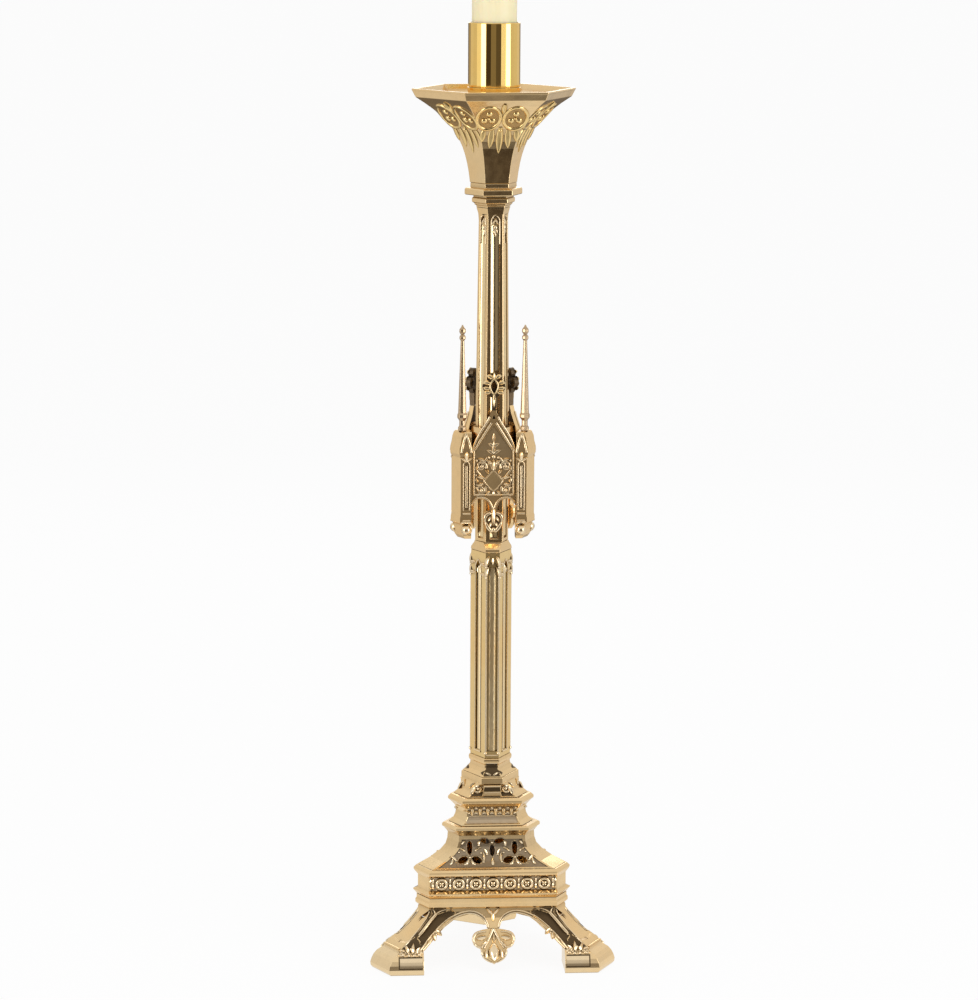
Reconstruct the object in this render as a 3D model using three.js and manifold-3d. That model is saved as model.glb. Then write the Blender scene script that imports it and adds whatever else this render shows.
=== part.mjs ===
// Paschal candlestick in cast brass: a three-footed triangular base, a panelled shaft with a gabled
// knop, a hexagonal drip pan and a tall candle socket, all drawn together by one hidden tie rod.
// Millimetres, +Z up, the broad front of the base towards -Y.

import * as THREE from 'three';
import { mergeVertices } from 'three/addons/utils/BufferGeometryUtils.js';
import Module from 'manifold-3d';

const wasm = await Module();
wasm.setup();

// Fits
const SEAT = 0.3; // gap left at every seat between two castings
const ROD_PLAY = 0.4; // clearance round the tie rod
const UPPER_TURN = 6; // degrees that the upper shaft and the pan stand turned on the rod

// Tie rod and its fastening under the base
const ROD_RADIUS = 5;
const ROD_TAIL = 5; // rod left showing under its nut
const NUT_APOTHEM = 8.5;
const NUT_HEIGHT = 8;
const WASHER_RADIUS = 22;
const WASHER_THICKNESS = 3;

// Feet: spans are measured from corner tip to corner tip, corners across the cut-off corner
const FOOT_SPAN = 294;
const FOOT_CORNER = 43;
const FOOT_HEIGHT = 27;
const ANKLE_SPAN = 263;
const ANKLE_CORNER = 34;

// Arcade between the feet
const LEG_HEIGHT = 56;
const LEG_TOP_SPAN = 176;
const LEG_TOP_CORNER = 24;
const LEG_WALL = 5;
const LEG_MOULD_HEIGHT = 11;
const LEG_MOULD_SPAN = 183.5;
const DECK_THICKNESS = 7;
const ARCH_FOOT = 84; // from the middle of a side to the inner face of a leg
const ARCH_CROWN_HEIGHT = 63.5; // above the floor
const STEM_HALF = 7.5; // half width of the stem between the two arches
const STEM_DROP = 48.5; // height of the stem's lower end above the floor
const ARCH_CROWN = 28; // from the middle of a side to the crown of an arch
const ARCH_RIM = 3.5; // width of the sunk rim round an arch
const ARCH_RIM_DEPTH = 1.4;
const LEG_FIELD_DEPTH = 2.6;
const LEG_RIB_TOP = 71; // from the middle of a side to the rib between the two sunk fields
const LEG_RIB_FOOT = 93;
const LEG_RIB_WIDTH = 4.5;

// Pendant leaf under each side of the arcade
const LEAF_SPAN = 52;
const LEAF_LENGTH = 42.4;
const LEAF_THICKNESS = 6;
const LEAF_NECK = 0.13; // half width of a leaf's neck as a share of its span
const LEAF_TILT = 30; // degrees that it leans outward, in line with the legs

// Band with a frieze of rings between two cornices
const BAND_HEIGHT = 35.5;
const CORNICE_SPAN = 189;
const CORNICE_CORNER = 35;
const BAND_SPAN = 178;
const BAND_CORNER = 24;
const BAND_WALL = 5;
const FRIEZE_DEPTH = 2;
const FRIEZE_HEIGHT = 16;
const RING_COUNT = 7;
const RING_PITCH = 20.5;
const RING_RADIUS = 7;
const RING_WIDTH = 2.4;

// Pierced tier, flaring down to the band
const PIERCED_HEIGHT = 47;
const PIERCED_SPAN = 105;
const PIERCED_CORNER = 25;
const PIERCED_FOOT_SPAN = 178;
const PIERCED_FOOT_CORNER = 33;
const PIERCED_CORNICE_SPAN = 117.8;
const PIERCED_CORNICE_CORNER = 31;
const PIERCED_WALL = 4;
const GROUND_DEPTH = 1.4;
const GROUND_MARGIN = 3.4; // from a sunk ground to the end of its side
const PETAL_LENGTH = 13.6;
const PETAL_WIDTH = 6.8;
const TALL_PETAL_LENGTH = 16.8; // the upright petal of an outer opening
const TREFOIL_OFFSET = 27;
const TREFOIL_RISE = 10.2; // centre of the outer openings above the foot of the tier
const MIDDLE_RISE = 26;
const PETAL_HUB = 1.8; // from the centre of an opening to its petals

// Leafed tier
const LEAFED_HEIGHT = 33.5;
const LEAFED_SPAN = 84;
const LEAFED_CORNER = 25;
const LEAFED_CORNICE_SPAN = 103.4;
const LEAFED_CORNICE_CORNER = 32;
const LEAFED_WALL = 4;

// Plinth of the shaft
const PLINTH_HEIGHT = 24;
const PLINTH_SPAN = 69.6;
const PLINTH_CORNER = 44;
const PLINTH_NECK_CORNER = 26;
const PLINTH_BLOCK_WIDTH = 21;
const PLATE_THICKNESS = 5;

// Lower shaft: three broad faces and three narrow ones
const SHAFT_SPAN = 48;
const SHAFT_CORNER = 31.3;
const SHAFT_FOOT_HEIGHT = 21;
const LOWER_SHAFT_LENGTH = 250;
const SHAFT_WALL = 7;
const SPIGOT_HEIGHT = 3;
const NARROW_PANEL = 13;
const BROAD_PANEL = 10.5;
const SHAFT_PANEL_DEPTH = 2.6;
const SHOULDER_HEIGHT = 11.5;

// Upper shaft: a slightly tapered hexagon, sizes from axis to corner
const UPPER_SHAFT_LENGTH = 396;
const UPPER_RADIUS = 20;
const UPPER_NECK_RADIUS = 17.4;
const UPPER_STRAIGHT = 167; // length of the part that isn't tapered
const UPPER_CAP_RADIUS = 20.3;
const UPPER_CAP_HEIGHT = 15;
const UPPER_BORE = 9;
const UPPER_PANEL = 9.6;
const UPPER_PANEL_DEPTH = 2.2;

// Knop
const KNOP_RISE = 6.8; // from the foot of the upper shaft to the foot of the knop
const KNOP_SPAN = 98;
const KNOP_CORNER = 20;
const BUTTRESS_HEIGHT = 128;
const CORE_APOTHEM = 22.6;
const CORE_RISE = 45; // from the foot of the buttresses to the foot of the sleeve
const PANEL_HALF = 26;
const PANEL_THICKNESS = 5.8;
const PANEL_FOOT = 43; // height of the panel's lower edge above the foot of the knop
const GABLE_FOOT = 106;
const GABLE_TOP = 141;
const OGEE_TOP = 153;
const FIELD_DEPTH = 1.6;
const SLIT_WIDTH = 5.4; // lancet slit beside a panel
const KNOP_LEAF_SPAN = 23.6;
const KNOP_LEAF_LENGTH = 30;
const FINIAL_HEIGHT = 44.5;
const FINIAL_SPAN = 27;
const FINIAL_THICKNESS = 6;
const FINIAL_EYE_WIDTH = 6.6;
const FINIAL_EYE_HEIGHT = 14.6;
const PINNACLE_REACH = 42.5; // from the axis of the shaft to the axis of a pinnacle
const PINNACLE_HEIGHT = 125;
const PINNACLE_RADIUS = 5.6;

// Capital and pan
const CAPITAL_HEIGHT = 28.5;
const CAPITAL_RADIUS = 34.3;
const PAN_HEIGHT = 109;
const PAN_NECK = 28;
const PAN_RADIUS = 97;
const PAN_LIP = 10;
const PAN_WALL = 4.5;
const DISH_DEPTH = 11;

// Socket and candle
const SOCKET_RING_HEIGHT = 12;
const SOCKET_RING_RADIUS = 31;
const SOCKET_HEIGHT = 74;
const SOCKET_RADIUS = 30.35;
const SOCKET_WALL = 2;
const SOCKET_FLOOR = 4;
const SOCKET_BOSS_RADIUS = 12;
const CANDLE_RADIUS = 26.2;
const CANDLE_LENGTH = 305;
const WICK_RADIUS = 1.5;
const WICK_LENGTH = 14;

// Finishes
const BRASS = new THREE.MeshStandardMaterial({ color: 0xc8a264, roughness: 0.3, metalness: 1 });
const BRIGHT_BRASS = new THREE.MeshStandardMaterial({ color: 0xd6a840, roughness: 0.12, metalness: 1 });
const STEEL = new THREE.MeshStandardMaterial({ color: 0x8d8f90, roughness: 0.4, metalness: 1 });
const WAX = new THREE.MeshStandardMaterial({ color: 0xf3ead2, roughness: 0.55, metalness: 0 });
const COTTON = new THREE.MeshStandardMaterial({ color: 0xe8e0cc, roughness: 0.9, metalness: 0 });

const CUT_REACH = 250; // how far a cutter runs out, past every side
const CUT_START = 10; // where it starts, inside every wall
const ROOT3 = Math.sqrt(3);
const FRONT_SIDES = [0, 120, 240];
const CORNERS = [60, 180, 300];
const HEX_SIDES = [0, 60, 120, 180, 240, 300];

function radians(degrees) {
  return THREE.MathUtils.degToRad(degrees);
}

// Solids

function signedVolume(position, index) {
  const [a, b, c] = [new THREE.Vector3(), new THREE.Vector3(), new THREE.Vector3()];
  let volume = 0;
  for (let i = 0; i < index.length; i += 3) {
    a.fromBufferAttribute(position, index[i]);
    b.fromBufferAttribute(position, index[i + 1]);
    c.fromBufferAttribute(position, index[i + 2]);
    volume += a.dot(b.cross(c)) / 6;
  }
  return volume;
}

function toSolid(geometry) {
  const bare = geometry.clone();
  bare.deleteAttribute('normal');
  bare.deleteAttribute('uv');
  const merged = mergeVertices(bare, 1e-4);
  const index = merged.index.array;
  const outward = signedVolume(merged.attributes.position, index) > 0;
  const triangles = [];
  for (let i = 0; i < index.length; i += 3) {
    const [a, b, c] = [index[i], index[i + 1], index[i + 2]];
    if (a !== b && b !== c && c !== a) {
      triangles.push(...(outward ? [a, b, c] : [a, c, b]));
    }
  }
  return new wasm.Manifold(new wasm.Mesh({
    numProp: 3,
    vertProperties: new Float32Array(merged.attributes.position.array),
    triVerts: new Uint32Array(triangles),
  }));
}

function toGeometry(solid) {
  const { vertProperties, triVerts } = solid.getMesh();
  const geometry = new THREE.BufferGeometry();
  geometry.setAttribute('position', new THREE.BufferAttribute(vertProperties, 3));
  geometry.setIndex(new THREE.BufferAttribute(triVerts, 1));
  geometry.computeVertexNormals();
  return geometry;
}

// A turned solid from [radius, height] pairs; the profile is closed on the axis.
function turned(profile, segments, start = 0) {
  const points = profile.map(([radius, z]) => new THREE.Vector2(radius, z));
  points.unshift(new THREE.Vector2(0, profile[0][1]));
  points.push(new THREE.Vector2(0, profile[profile.length - 1][1]));
  return new THREE.LatheGeometry(points, segments, start).rotateX(Math.PI / 2);
}

// The same with few flat sides: sizes are apothems and one side faces the angle turn.
function faceted(profile, sides, turn = 0) {
  const reach = 1 / Math.cos(Math.PI / sides);
  const corners = profile.map(([apothem, z]) => [apothem * reach, z]);
  return turned(corners, sides, radians(turn + 180 / sides));
}

// A hexagonal solid from [axis-to-corner radius, height] pairs.
function hexagonal(profile) {
  return turned(profile, 6, radians(30));
}

// A triangle with cut-off corners at every [height, span, corner] level.
function tier(levels, inset = 0) {
  const main = levels.map(([z, span, corner]) => [(span + corner) / (2 * ROOT3) - inset, z]);
  const cut = levels.map(([z, span, corner]) => (
    [(ROOT3 * span) / 2 - (span + corner) / (2 * ROOT3) - inset, z]));
  return toSolid(faceted(main, 3)).intersect(toSolid(faceted(cut, 3, 60)));
}

function mainApothem(span, corner) {
  return (span + corner) / (2 * ROOT3);
}

function cornerApothem(span, corner) {
  return (ROOT3 * span) / 2 - mainApothem(span, corner);
}

// Span and corner at a height between two of the levels
function levelAt(levels, z) {
  const above = levels.findIndex((level) => level[0] >= z);
  const [low, lowSpan, lowCorner] = levels[above - 1];
  const [high, highSpan, highCorner] = levels[above];
  const t = (z - low) / (high - low);
  return [lowSpan + (highSpan - lowSpan) * t, lowCorner + (highCorner - lowCorner) * t];
}

// Distance from the axis to a main side at a height
function sideDistance(levels, z) {
  return mainApothem(...levelAt(levels, z));
}

// The levels of one stretch, with its ends carried on past the piece so that they cut through.
function throughLevels(levels, below, above) {
  const first = levels[0];
  const last = levels[levels.length - 1];
  const upper = levels.slice(1, -1);
  return [[first[0] - below, first[1], first[2]], first, ...upper, last, [last[0] + above, last[1], last[2]]];
}

// Levels along a concave flare, from the first level to the second.
function flare([z0, span0, corner0], [z1, span1, corner1], power, steps) {
  const levels = [];
  for (let i = 0; i <= steps; i += 1) {
    const t = i / steps;
    const swell = (1 - t) ** power;
    levels.push([z0 + (z1 - z0) * t, span1 + (span0 - span1) * swell, corner1 + (corner0 - corner1) * swell]);
  }
  return levels;
}

// A flat outline seen from the front, x to the right and y up, between two distances from the axis.
function frontPrism(shape, inner, outer, curveSegments = 4) {
  const options = { depth: outer - inner, bevelEnabled: false, curveSegments };
  const geometry = new THREE.ExtrudeGeometry(shape, options);
  return geometry.rotateX(Math.PI / 2).translate(0, -inner, 0);
}

function cutter(shape, start = CUT_START, curveSegments = 4) {
  return frontPrism(shape, start, CUT_REACH, curveSegments);
}

function polygon(points) {
  return new THREE.Shape(points.map(([x, y]) => new THREE.Vector2(x, y)));
}

// The outline of a sunk ground that keeps a margin to both ends of a main side
function groundOutline(levels, low, high, margin) {
  const between = levels.map(([z]) => z).filter((z) => z > low && z < high);
  const edge = [low, ...between, high].map((z) => {
    const [span, corner] = levelAt(levels, z);
    return [(span - corner) / 2 - margin, z];
  });
  const mirrored = edge.map(([x, z]) => [-x, z]).reverse();
  return polygon([...edge, ...mirrored]);
}

function rectangle(halfWidth, low, high) {
  return polygon([[-halfWidth, low], [halfWidth, low], [halfWidth, high], [-halfWidth, high]]);
}

// A pointed opening; its top is struck from the two springing points.
function lancet(width, foot, spring) {
  const half = width / 2;
  const shape = new THREE.Shape();
  shape.moveTo(half, foot);
  shape.lineTo(half, spring);
  shape.absarc(-half, spring, width, 0, Math.PI / 3, false);
  shape.absarc(half, spring, width, (2 * Math.PI) / 3, Math.PI, false);
  shape.lineTo(-half, foot);
  shape.closePath();
  return shape;
}

function disc(x, y, radius) {
  const shape = new THREE.Shape();
  shape.absarc(x, y, radius, 0, 2 * Math.PI, false);
  return shape;
}

function spun(geometry, degrees) {
  return toSolid(geometry.clone().rotateZ(radians(degrees)));
}

// Takes a cutter away at each angle; what lies inside the core is kept.
function cutAround(solid, cutter, turns, core = null) {
  return turns.reduce((rest, turn) => {
    const tool = spun(cutter, turn);
    return rest.subtract(core ? tool.subtract(core) : tool);
  }, solid);
}

function addAround(solid, piece, turns) {
  return turns.reduce((sum, turn) => sum.add(spun(piece, turn)), solid);
}

function rodHole(solid, low, high) {
  const radius = ROD_RADIUS + ROD_PLAY;
  return solid.subtract(toSolid(turned([[radius, low - 1], [radius, high + 1]], 16)));
}

// The wedge of space, 120 degrees wide, round the corner that faces +X and -Y.
function cornerWedge(low, high) {
  const reach = 400;
  const wedge = polygon([[0, 0], [0, -reach], [reach * ROOT3, -reach], [reach * Math.cos(Math.PI / 6),
    reach * Math.sin(Math.PI / 6)]]);
  const geometry = new THREE.ExtrudeGeometry(wedge, { depth: high - low, bevelEnabled: false });
  return toSolid(geometry.translate(0, 0, low));
}

// Feet

const footLevels = [
  [0, FOOT_SPAN - 6, FOOT_CORNER - 2],
  [3, FOOT_SPAN - 1, FOOT_CORNER],
  [7, FOOT_SPAN, FOOT_CORNER],
  [12, FOOT_SPAN - 3, FOOT_CORNER - 1],
  [17, FOOT_SPAN - 8.5, FOOT_CORNER - 2],
  [21, FOOT_SPAN - 16, FOOT_CORNER - 4],
  [24, ANKLE_SPAN + 4, ANKLE_CORNER + 2],
  [25.5, ANKLE_SPAN - 1, ANKLE_CORNER],
  [FOOT_HEIGHT, ANKLE_SPAN - 1, ANKLE_CORNER],
];

function makeFoot() {
  const back = -ARCH_FOOT;
  const gap = frontPrism(rectangle(ARCH_FOOT, -1, FOOT_HEIGHT + 1), back, CUT_REACH);
  const corner = tier(footLevels).intersect(cornerWedge(-1, FOOT_HEIGHT + 1));
  return cutAround(corner, gap, [0, 120]);
}

// Arcade of paired arches, three legs and a deck that the rod pulls against

const legFoot = FOOT_HEIGHT + SEAT;
const legTop = legFoot + LEG_HEIGHT;
const legMould = legTop - LEG_MOULD_HEIGHT;
const legLevels = [
  ...flare([legFoot, ANKLE_SPAN, ANKLE_CORNER], [legMould - 2, LEG_TOP_SPAN, LEG_TOP_CORNER], 1.5, 4),
  [legMould + 1, LEG_MOULD_SPAN, LEG_TOP_CORNER + 6],
  [legMould + 5, LEG_MOULD_SPAN, LEG_TOP_CORNER + 6],
  [legMould + 7, LEG_MOULD_SPAN - 3, LEG_TOP_CORNER + 5],
  [legTop, LEG_MOULD_SPAN - 3, LEG_TOP_CORNER + 5],
];

// One arch of a side, or with a rim the outline of its sunk border
function archOpening(side, rim = 0) {
  const shape = new THREE.Shape();
  const foot = ARCH_FOOT + rim;
  const crown = ARCH_CROWN_HEIGHT + rim;
  const stem = STEM_HALF - rim / 2;
  shape.moveTo(side * foot, legFoot - 5);
  shape.lineTo(side * foot, legFoot - 1);
  shape.bezierCurveTo(side * (foot - 16), legFoot + 12 + rim, side * (ARCH_CROWN + 22), crown,
    side * ARCH_CROWN, crown);
  shape.bezierCurveTo(side * (ARCH_CROWN - 10), crown, side * (stem + 2), STEM_DROP + 9 + rim,
    side * stem, STEM_DROP);
  shape.lineTo(-side, STEM_DROP);
  shape.lineTo(-side, legFoot - 5);
  shape.closePath();
  return shape;
}

// The two sunk fields beside the slanting rib of a leg
function legFields(side) {
  const top = legMould - 2;
  const foot = legFoot + 6;
  const ribTop = top - 6;
  const ribFoot = foot + 7;
  const ribHalf = LEG_RIB_WIDTH / 2;
  const outer = [
    [LEG_RIB_TOP + ribHalf, ribTop], [LEG_RIB_TOP + 4, top], [LEG_RIB_FOOT + 21, foot],
    [LEG_RIB_FOOT + 12, foot + 2], [LEG_RIB_FOOT + ribHalf, ribFoot],
  ];
  const inner = [
    [LEG_RIB_TOP - ribHalf, ribTop - 1.5], [LEG_RIB_TOP - 14.5, top - 3.5], [LEG_RIB_TOP - 15, ribTop - 1],
    [LEG_RIB_FOOT - 7, foot + 1.5], [LEG_RIB_FOOT - ribHalf, ribFoot - 0.5],
  ];
  return [outer, inner].map((points) => polygon(points.map(([x, z]) => [side * x, z])));
}

function makeArcade() {
  const deckFoot = legTop - DECK_THICKNESS;
  const shell = legLevels.filter(([z], i) => z < deckFoot && i % 2 === 0);
  const hollow = tier([[legFoot - 1, ANKLE_SPAN + 3, ANKLE_CORNER], ...shell,
    [deckFoot, LEG_TOP_SPAN, LEG_TOP_CORNER]], LEG_WALL);
  const rimGround = tier(legLevels, ARCH_RIM_DEPTH);
  const fieldGround = tier(legLevels, LEG_FIELD_DEPTH);
  let solid = tier(legLevels).subtract(hollow);
  for (const side of [-1, 1]) {
    solid = cutAround(solid, cutter(archOpening(side, ARCH_RIM)), FRONT_SIDES, rimGround);
    solid = cutAround(solid, cutter(archOpening(side)), FRONT_SIDES);
    for (const field of legFields(side)) {
      solid = cutAround(solid, cutter(field), FRONT_SIDES, fieldGround);
    }
  }
  return rodHole(solid, deckFoot, legTop);
}

// Pendant leaf of five lobes hung from the stem between two arches

function leafOutline(span, length) {
  const half = span / 2;
  const shape = new THREE.Shape();
  const neck = span * LEAF_NECK;
  shape.moveTo(neck, 0);
  shape.bezierCurveTo(half * 0.5, -length * 0.02, half * 1.05, -length * 0.08, half, -length * 0.3);
  shape.bezierCurveTo(half * 0.98, -length * 0.48, half * 0.75, -length * 0.52, half * 0.62, -length * 0.56);
  shape.bezierCurveTo(half * 0.66, -length * 0.72, half * 0.45, -length * 0.86, 0, -length);
  shape.bezierCurveTo(-half * 0.45, -length * 0.86, -half * 0.66, -length * 0.72,
    -half * 0.62, -length * 0.56);
  shape.bezierCurveTo(-half * 0.75, -length * 0.52, -half * 0.98, -length * 0.48, -half, -length * 0.3);
  shape.bezierCurveTo(-half * 1.05, -length * 0.08, -half * 0.5, -length * 0.02, -neck, 0);
  shape.closePath();
  return shape;
}

function makePendant() {
  const front = sideDistance(legLevels, STEM_DROP);
  const neck = 5;
  const top = STEM_DROP - SEAT;
  const outline = leafOutline(LEAF_SPAN, LEAF_LENGTH);
  const leaf = toSolid(frontPrism(outline, -LEAF_THICKNESS, 0, 3))
    .add(toSolid(frontPrism(rectangle(LEAF_SPAN * LEAF_NECK, -neck, neck), -LEAF_THICKNESS, 0)));
  const above = toSolid(frontPrism(rectangle(LEAF_SPAN, top, top + LEAF_LENGTH), CUT_START, CUT_REACH));
  return leaf.rotate([-LEAF_TILT, 0, 0]).translate([0, -front, top]).subtract(above);
}

// Band with its frieze of rings

const bandFoot = legTop + SEAT;
const bandTop = bandFoot + BAND_HEIGHT;
const friezeFoot = bandFoot + 9;
const bandLevels = [
  [bandFoot, BAND_SPAN + 2, BAND_CORNER + 5],
  [bandFoot + 3, CORNICE_SPAN - 4, CORNICE_CORNER - 2],
  [bandFoot + 5, CORNICE_SPAN, CORNICE_CORNER],
  [bandFoot + 6.5, CORNICE_SPAN, CORNICE_CORNER],
  [friezeFoot, BAND_SPAN, BAND_CORNER],
  [friezeFoot + FRIEZE_HEIGHT, BAND_SPAN, BAND_CORNER],
  [bandTop - 7, CORNICE_SPAN - 3, CORNICE_CORNER - 1],
  [bandTop - 5, CORNICE_SPAN - 1, CORNICE_CORNER],
  [bandTop - 3, CORNICE_SPAN - 1, CORNICE_CORNER],
  [bandTop, CORNICE_SPAN - 8, CORNICE_CORNER - 2],
];

function ringRelief(x, distance) {
  const middle = friezeFoot + FRIEZE_HEIGHT / 2;
  const ring = disc(x, middle, RING_RADIUS);
  ring.holes.push(disc(x, middle, RING_RADIUS - RING_WIDTH));
  return frontPrism(ring, distance - 1, distance + FRIEZE_DEPTH);
}

function makeBand() {
  const bore = [[bandFoot - 1, BAND_SPAN, BAND_CORNER], [bandTop + 1, BAND_SPAN, BAND_CORNER]];
  const ground = mainApothem(BAND_SPAN, BAND_CORNER) - FRIEZE_DEPTH;
  const width = RING_PITCH * RING_COUNT / 2 + 3;
  const frieze = cutter(rectangle(width, friezeFoot, friezeFoot + FRIEZE_HEIGHT), ground);
  let solid = cutAround(tier(bandLevels).subtract(tier(bore, BAND_WALL + FRIEZE_DEPTH)), frieze, FRONT_SIDES);
  for (let i = 0; i < RING_COUNT; i += 1) {
    const x = (i - (RING_COUNT - 1) / 2) * RING_PITCH;
    solid = addAround(solid, ringRelief(x, ground), FRONT_SIDES);
  }
  return solid;
}

// Pierced tier: each side has three openings of three petals in a sunk ground

const piercedFoot = bandTop + SEAT;
const piercedTop = piercedFoot + PIERCED_HEIGHT;
const piercedNeck = piercedFoot + 27.5;
const piercedLevels = [
  ...flare([piercedFoot, PIERCED_FOOT_SPAN, PIERCED_FOOT_CORNER],
    [piercedNeck, PIERCED_SPAN, PIERCED_CORNER], 2, 4),
  [piercedTop - 12, PIERCED_SPAN - 1, PIERCED_CORNER],
  [piercedTop - 6.5, PIERCED_CORNICE_SPAN - 5, PIERCED_CORNICE_CORNER - 1],
  [piercedTop - 4.5, PIERCED_CORNICE_SPAN, PIERCED_CORNICE_CORNER],
  [piercedTop - 1.5, PIERCED_CORNICE_SPAN, PIERCED_CORNICE_CORNER],
  [piercedTop, PIERCED_CORNICE_SPAN - 4, PIERCED_CORNICE_CORNER - 1],
];

// One blunt petal, its inner end at (x, z) and its axis at the given angle from straight up.
function petal(x, z, degrees, length) {
  const bulge = PETAL_WIDTH / 1.5;
  const bend = length * 0.12;
  const shape = new THREE.Shape();
  shape.moveTo(0, 0);
  shape.bezierCurveTo(bulge, bend, bulge, length - bend, 0, length);
  shape.bezierCurveTo(-bulge, length - bend, -bulge, bend, 0, 0);
  const options = { depth: CUT_REACH, bevelEnabled: false, curveSegments: 4 };
  const geometry = new THREE.ExtrudeGeometry(shape, options);
  geometry.rotateZ(-radians(degrees)).translate(x, z, 0);
  return geometry.rotateX(Math.PI / 2).translate(0, -CUT_START, 0);
}

function makePierced() {
  const ground = groundOutline(piercedLevels, piercedFoot + 1.5, piercedNeck + 3, GROUND_MARGIN);
  const inside = piercedLevels.filter((level, i) => i < 5 && i !== 3);
  const hollow = tier(throughLevels(inside, 1, PIERCED_HEIGHT), PIERCED_WALL);
  let solid = tier(piercedLevels).subtract(hollow);
  solid = cutAround(solid, cutter(ground), FRONT_SIDES, tier(piercedLevels, GROUND_DEPTH));
  for (const offset of [-TREFOIL_OFFSET, 0, TREFOIL_OFFSET]) {
    const upright = offset !== 0;
    const centre = piercedFoot + (upright ? TREFOIL_RISE : MIDDLE_RISE);
    for (const spread of upright ? [0, 104, -104] : [180, 76, -76]) {
      const x = offset + PETAL_HUB * Math.sin(radians(spread));
      const z = centre + PETAL_HUB * Math.cos(radians(spread));
      const length = spread === 0 ? TALL_PETAL_LENGTH : PETAL_LENGTH;
      solid = cutAround(solid, petal(x, z, spread, length), FRONT_SIDES);
    }
  }
  return solid;
}

// Leafed tier

const leafedFoot = piercedTop + SEAT;
const leafedTop = leafedFoot + LEAFED_HEIGHT;
const leafedLevels = [
  [leafedFoot, LEAFED_SPAN + 18, LEAFED_CORNER + 4],
  [leafedFoot + 4.5, LEAFED_SPAN + 6.5, LEAFED_CORNER + 1],
  [leafedFoot + 9.5, LEAFED_SPAN + 1.5, LEAFED_CORNER],
  [leafedFoot + 14, LEAFED_SPAN, LEAFED_CORNER],
  [leafedTop - 14, LEAFED_SPAN + 3, LEAFED_CORNER],
  [leafedTop - 8, LEAFED_CORNICE_SPAN - 5, LEAFED_CORNICE_CORNER - 2],
  [leafedTop - 6, LEAFED_CORNICE_SPAN, LEAFED_CORNICE_CORNER],
  [leafedTop - 3, LEAFED_CORNICE_SPAN, LEAFED_CORNICE_CORNER],
  [leafedTop, LEAFED_CORNICE_SPAN - 7, LEAFED_CORNICE_CORNER - 1],
];

function makeLeafed() {
  const bore = [[leafedFoot - 1, LEAFED_SPAN, LEAFED_CORNER], [leafedTop + 1, LEAFED_SPAN, LEAFED_CORNER]];
  const ground = groundOutline(leafedLevels, leafedFoot + 1.5, leafedTop - 10.5, GROUND_MARGIN / 2);
  const solid = tier(leafedLevels).subtract(tier(bore, LEAFED_WALL));
  return cutAround(solid, cutter(ground), FRONT_SIDES, tier(leafedLevels, GROUND_DEPTH));
}

// Plinth of the shaft, with a stepped block in the middle of each side

const plinthFoot = leafedTop + SEAT;
const plinthTop = plinthFoot + PLINTH_HEIGHT;
const plinthLevels = [
  [plinthFoot, PLINTH_SPAN + 20, PLINTH_NECK_CORNER + 4],
  [plinthFoot + 2.5, PLINTH_SPAN + 14, PLINTH_NECK_CORNER + 3],
  [plinthFoot + 6, PLINTH_SPAN + 4, PLINTH_NECK_CORNER + 1],
  [plinthFoot + 11, PLINTH_SPAN, PLINTH_NECK_CORNER],
  [plinthTop - 10, PLINTH_SPAN - 1, PLINTH_NECK_CORNER + 6],
  [plinthTop - 8, PLINTH_SPAN, PLINTH_CORNER],
  [plinthTop - 1, PLINTH_SPAN - 0.5, PLINTH_CORNER],
  [plinthTop, PLINTH_SPAN - 2, PLINTH_CORNER],
];

function makePlinth() {
  const neck = mainApothem(PLINTH_SPAN, PLINTH_NECK_CORNER);
  const bore = [[plinthFoot - 1, PLINTH_SPAN, PLINTH_NECK_CORNER],
    [plinthTop - PLATE_THICKNESS, PLINTH_SPAN, PLINTH_NECK_CORNER]];
  const ground = groundOutline(plinthLevels, plinthFoot + 1, plinthTop - 11, GROUND_MARGIN / 2);
  let solid = tier(plinthLevels).subtract(tier(bore, LEAFED_WALL + GROUND_DEPTH));
  solid = cutAround(solid, cutter(ground), FRONT_SIDES, tier(plinthLevels, GROUND_DEPTH));
  for (const [low, reach] of [[2, 7], [6, 4.5], [10, 2]]) {
    const step = rectangle(PLINTH_BLOCK_WIDTH / 2, plinthFoot + low, plinthTop - 9);
    solid = addAround(solid, frontPrism(step, neck - 3, neck + reach), FRONT_SIDES);
  }
  return rodHole(solid, plinthTop - PLATE_THICKNESS, plinthTop);
}

// Foot of the shaft: a sloping skirt and a roll moulding

const shaftFootLow = plinthTop + SEAT;
const shaftFootTop = shaftFootLow + SHAFT_FOOT_HEIGHT;
const shaftFootLevels = [
  [shaftFootLow, PLINTH_SPAN - 3, PLINTH_CORNER - 1],
  [shaftFootLow + 4, PLINTH_SPAN - 13, PLINTH_CORNER - 6],
  [shaftFootLow + 9, SHAFT_SPAN + 0.5, SHAFT_CORNER + 1],
  [shaftFootTop - 9.5, SHAFT_SPAN, SHAFT_CORNER],
  [shaftFootTop - 8, SHAFT_SPAN, SHAFT_CORNER],
  [shaftFootTop - 6.5, SHAFT_SPAN + 3, SHAFT_CORNER + 1.5],
  [shaftFootTop - 3.5, SHAFT_SPAN + 4, SHAFT_CORNER + 2],
  [shaftFootTop - 1, SHAFT_SPAN + 3, SHAFT_CORNER + 1.5],
  [shaftFootTop, SHAFT_SPAN, SHAFT_CORNER],
];

function makeShaftFoot() {
  const spigot = tier([[shaftFootTop - 1, SHAFT_SPAN, SHAFT_CORNER],
    [shaftFootTop + SPIGOT_HEIGHT, SHAFT_SPAN, SHAFT_CORNER]], SHAFT_WALL + SEAT);
  return rodHole(tier(shaftFootLevels).add(spigot), shaftFootLow, shaftFootTop + SPIGOT_HEIGHT);
}

// Lower shaft with sunk lancet panels

const lowerLow = shaftFootTop + SEAT;
const lowerTop = lowerLow + LOWER_SHAFT_LENGTH;

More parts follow.
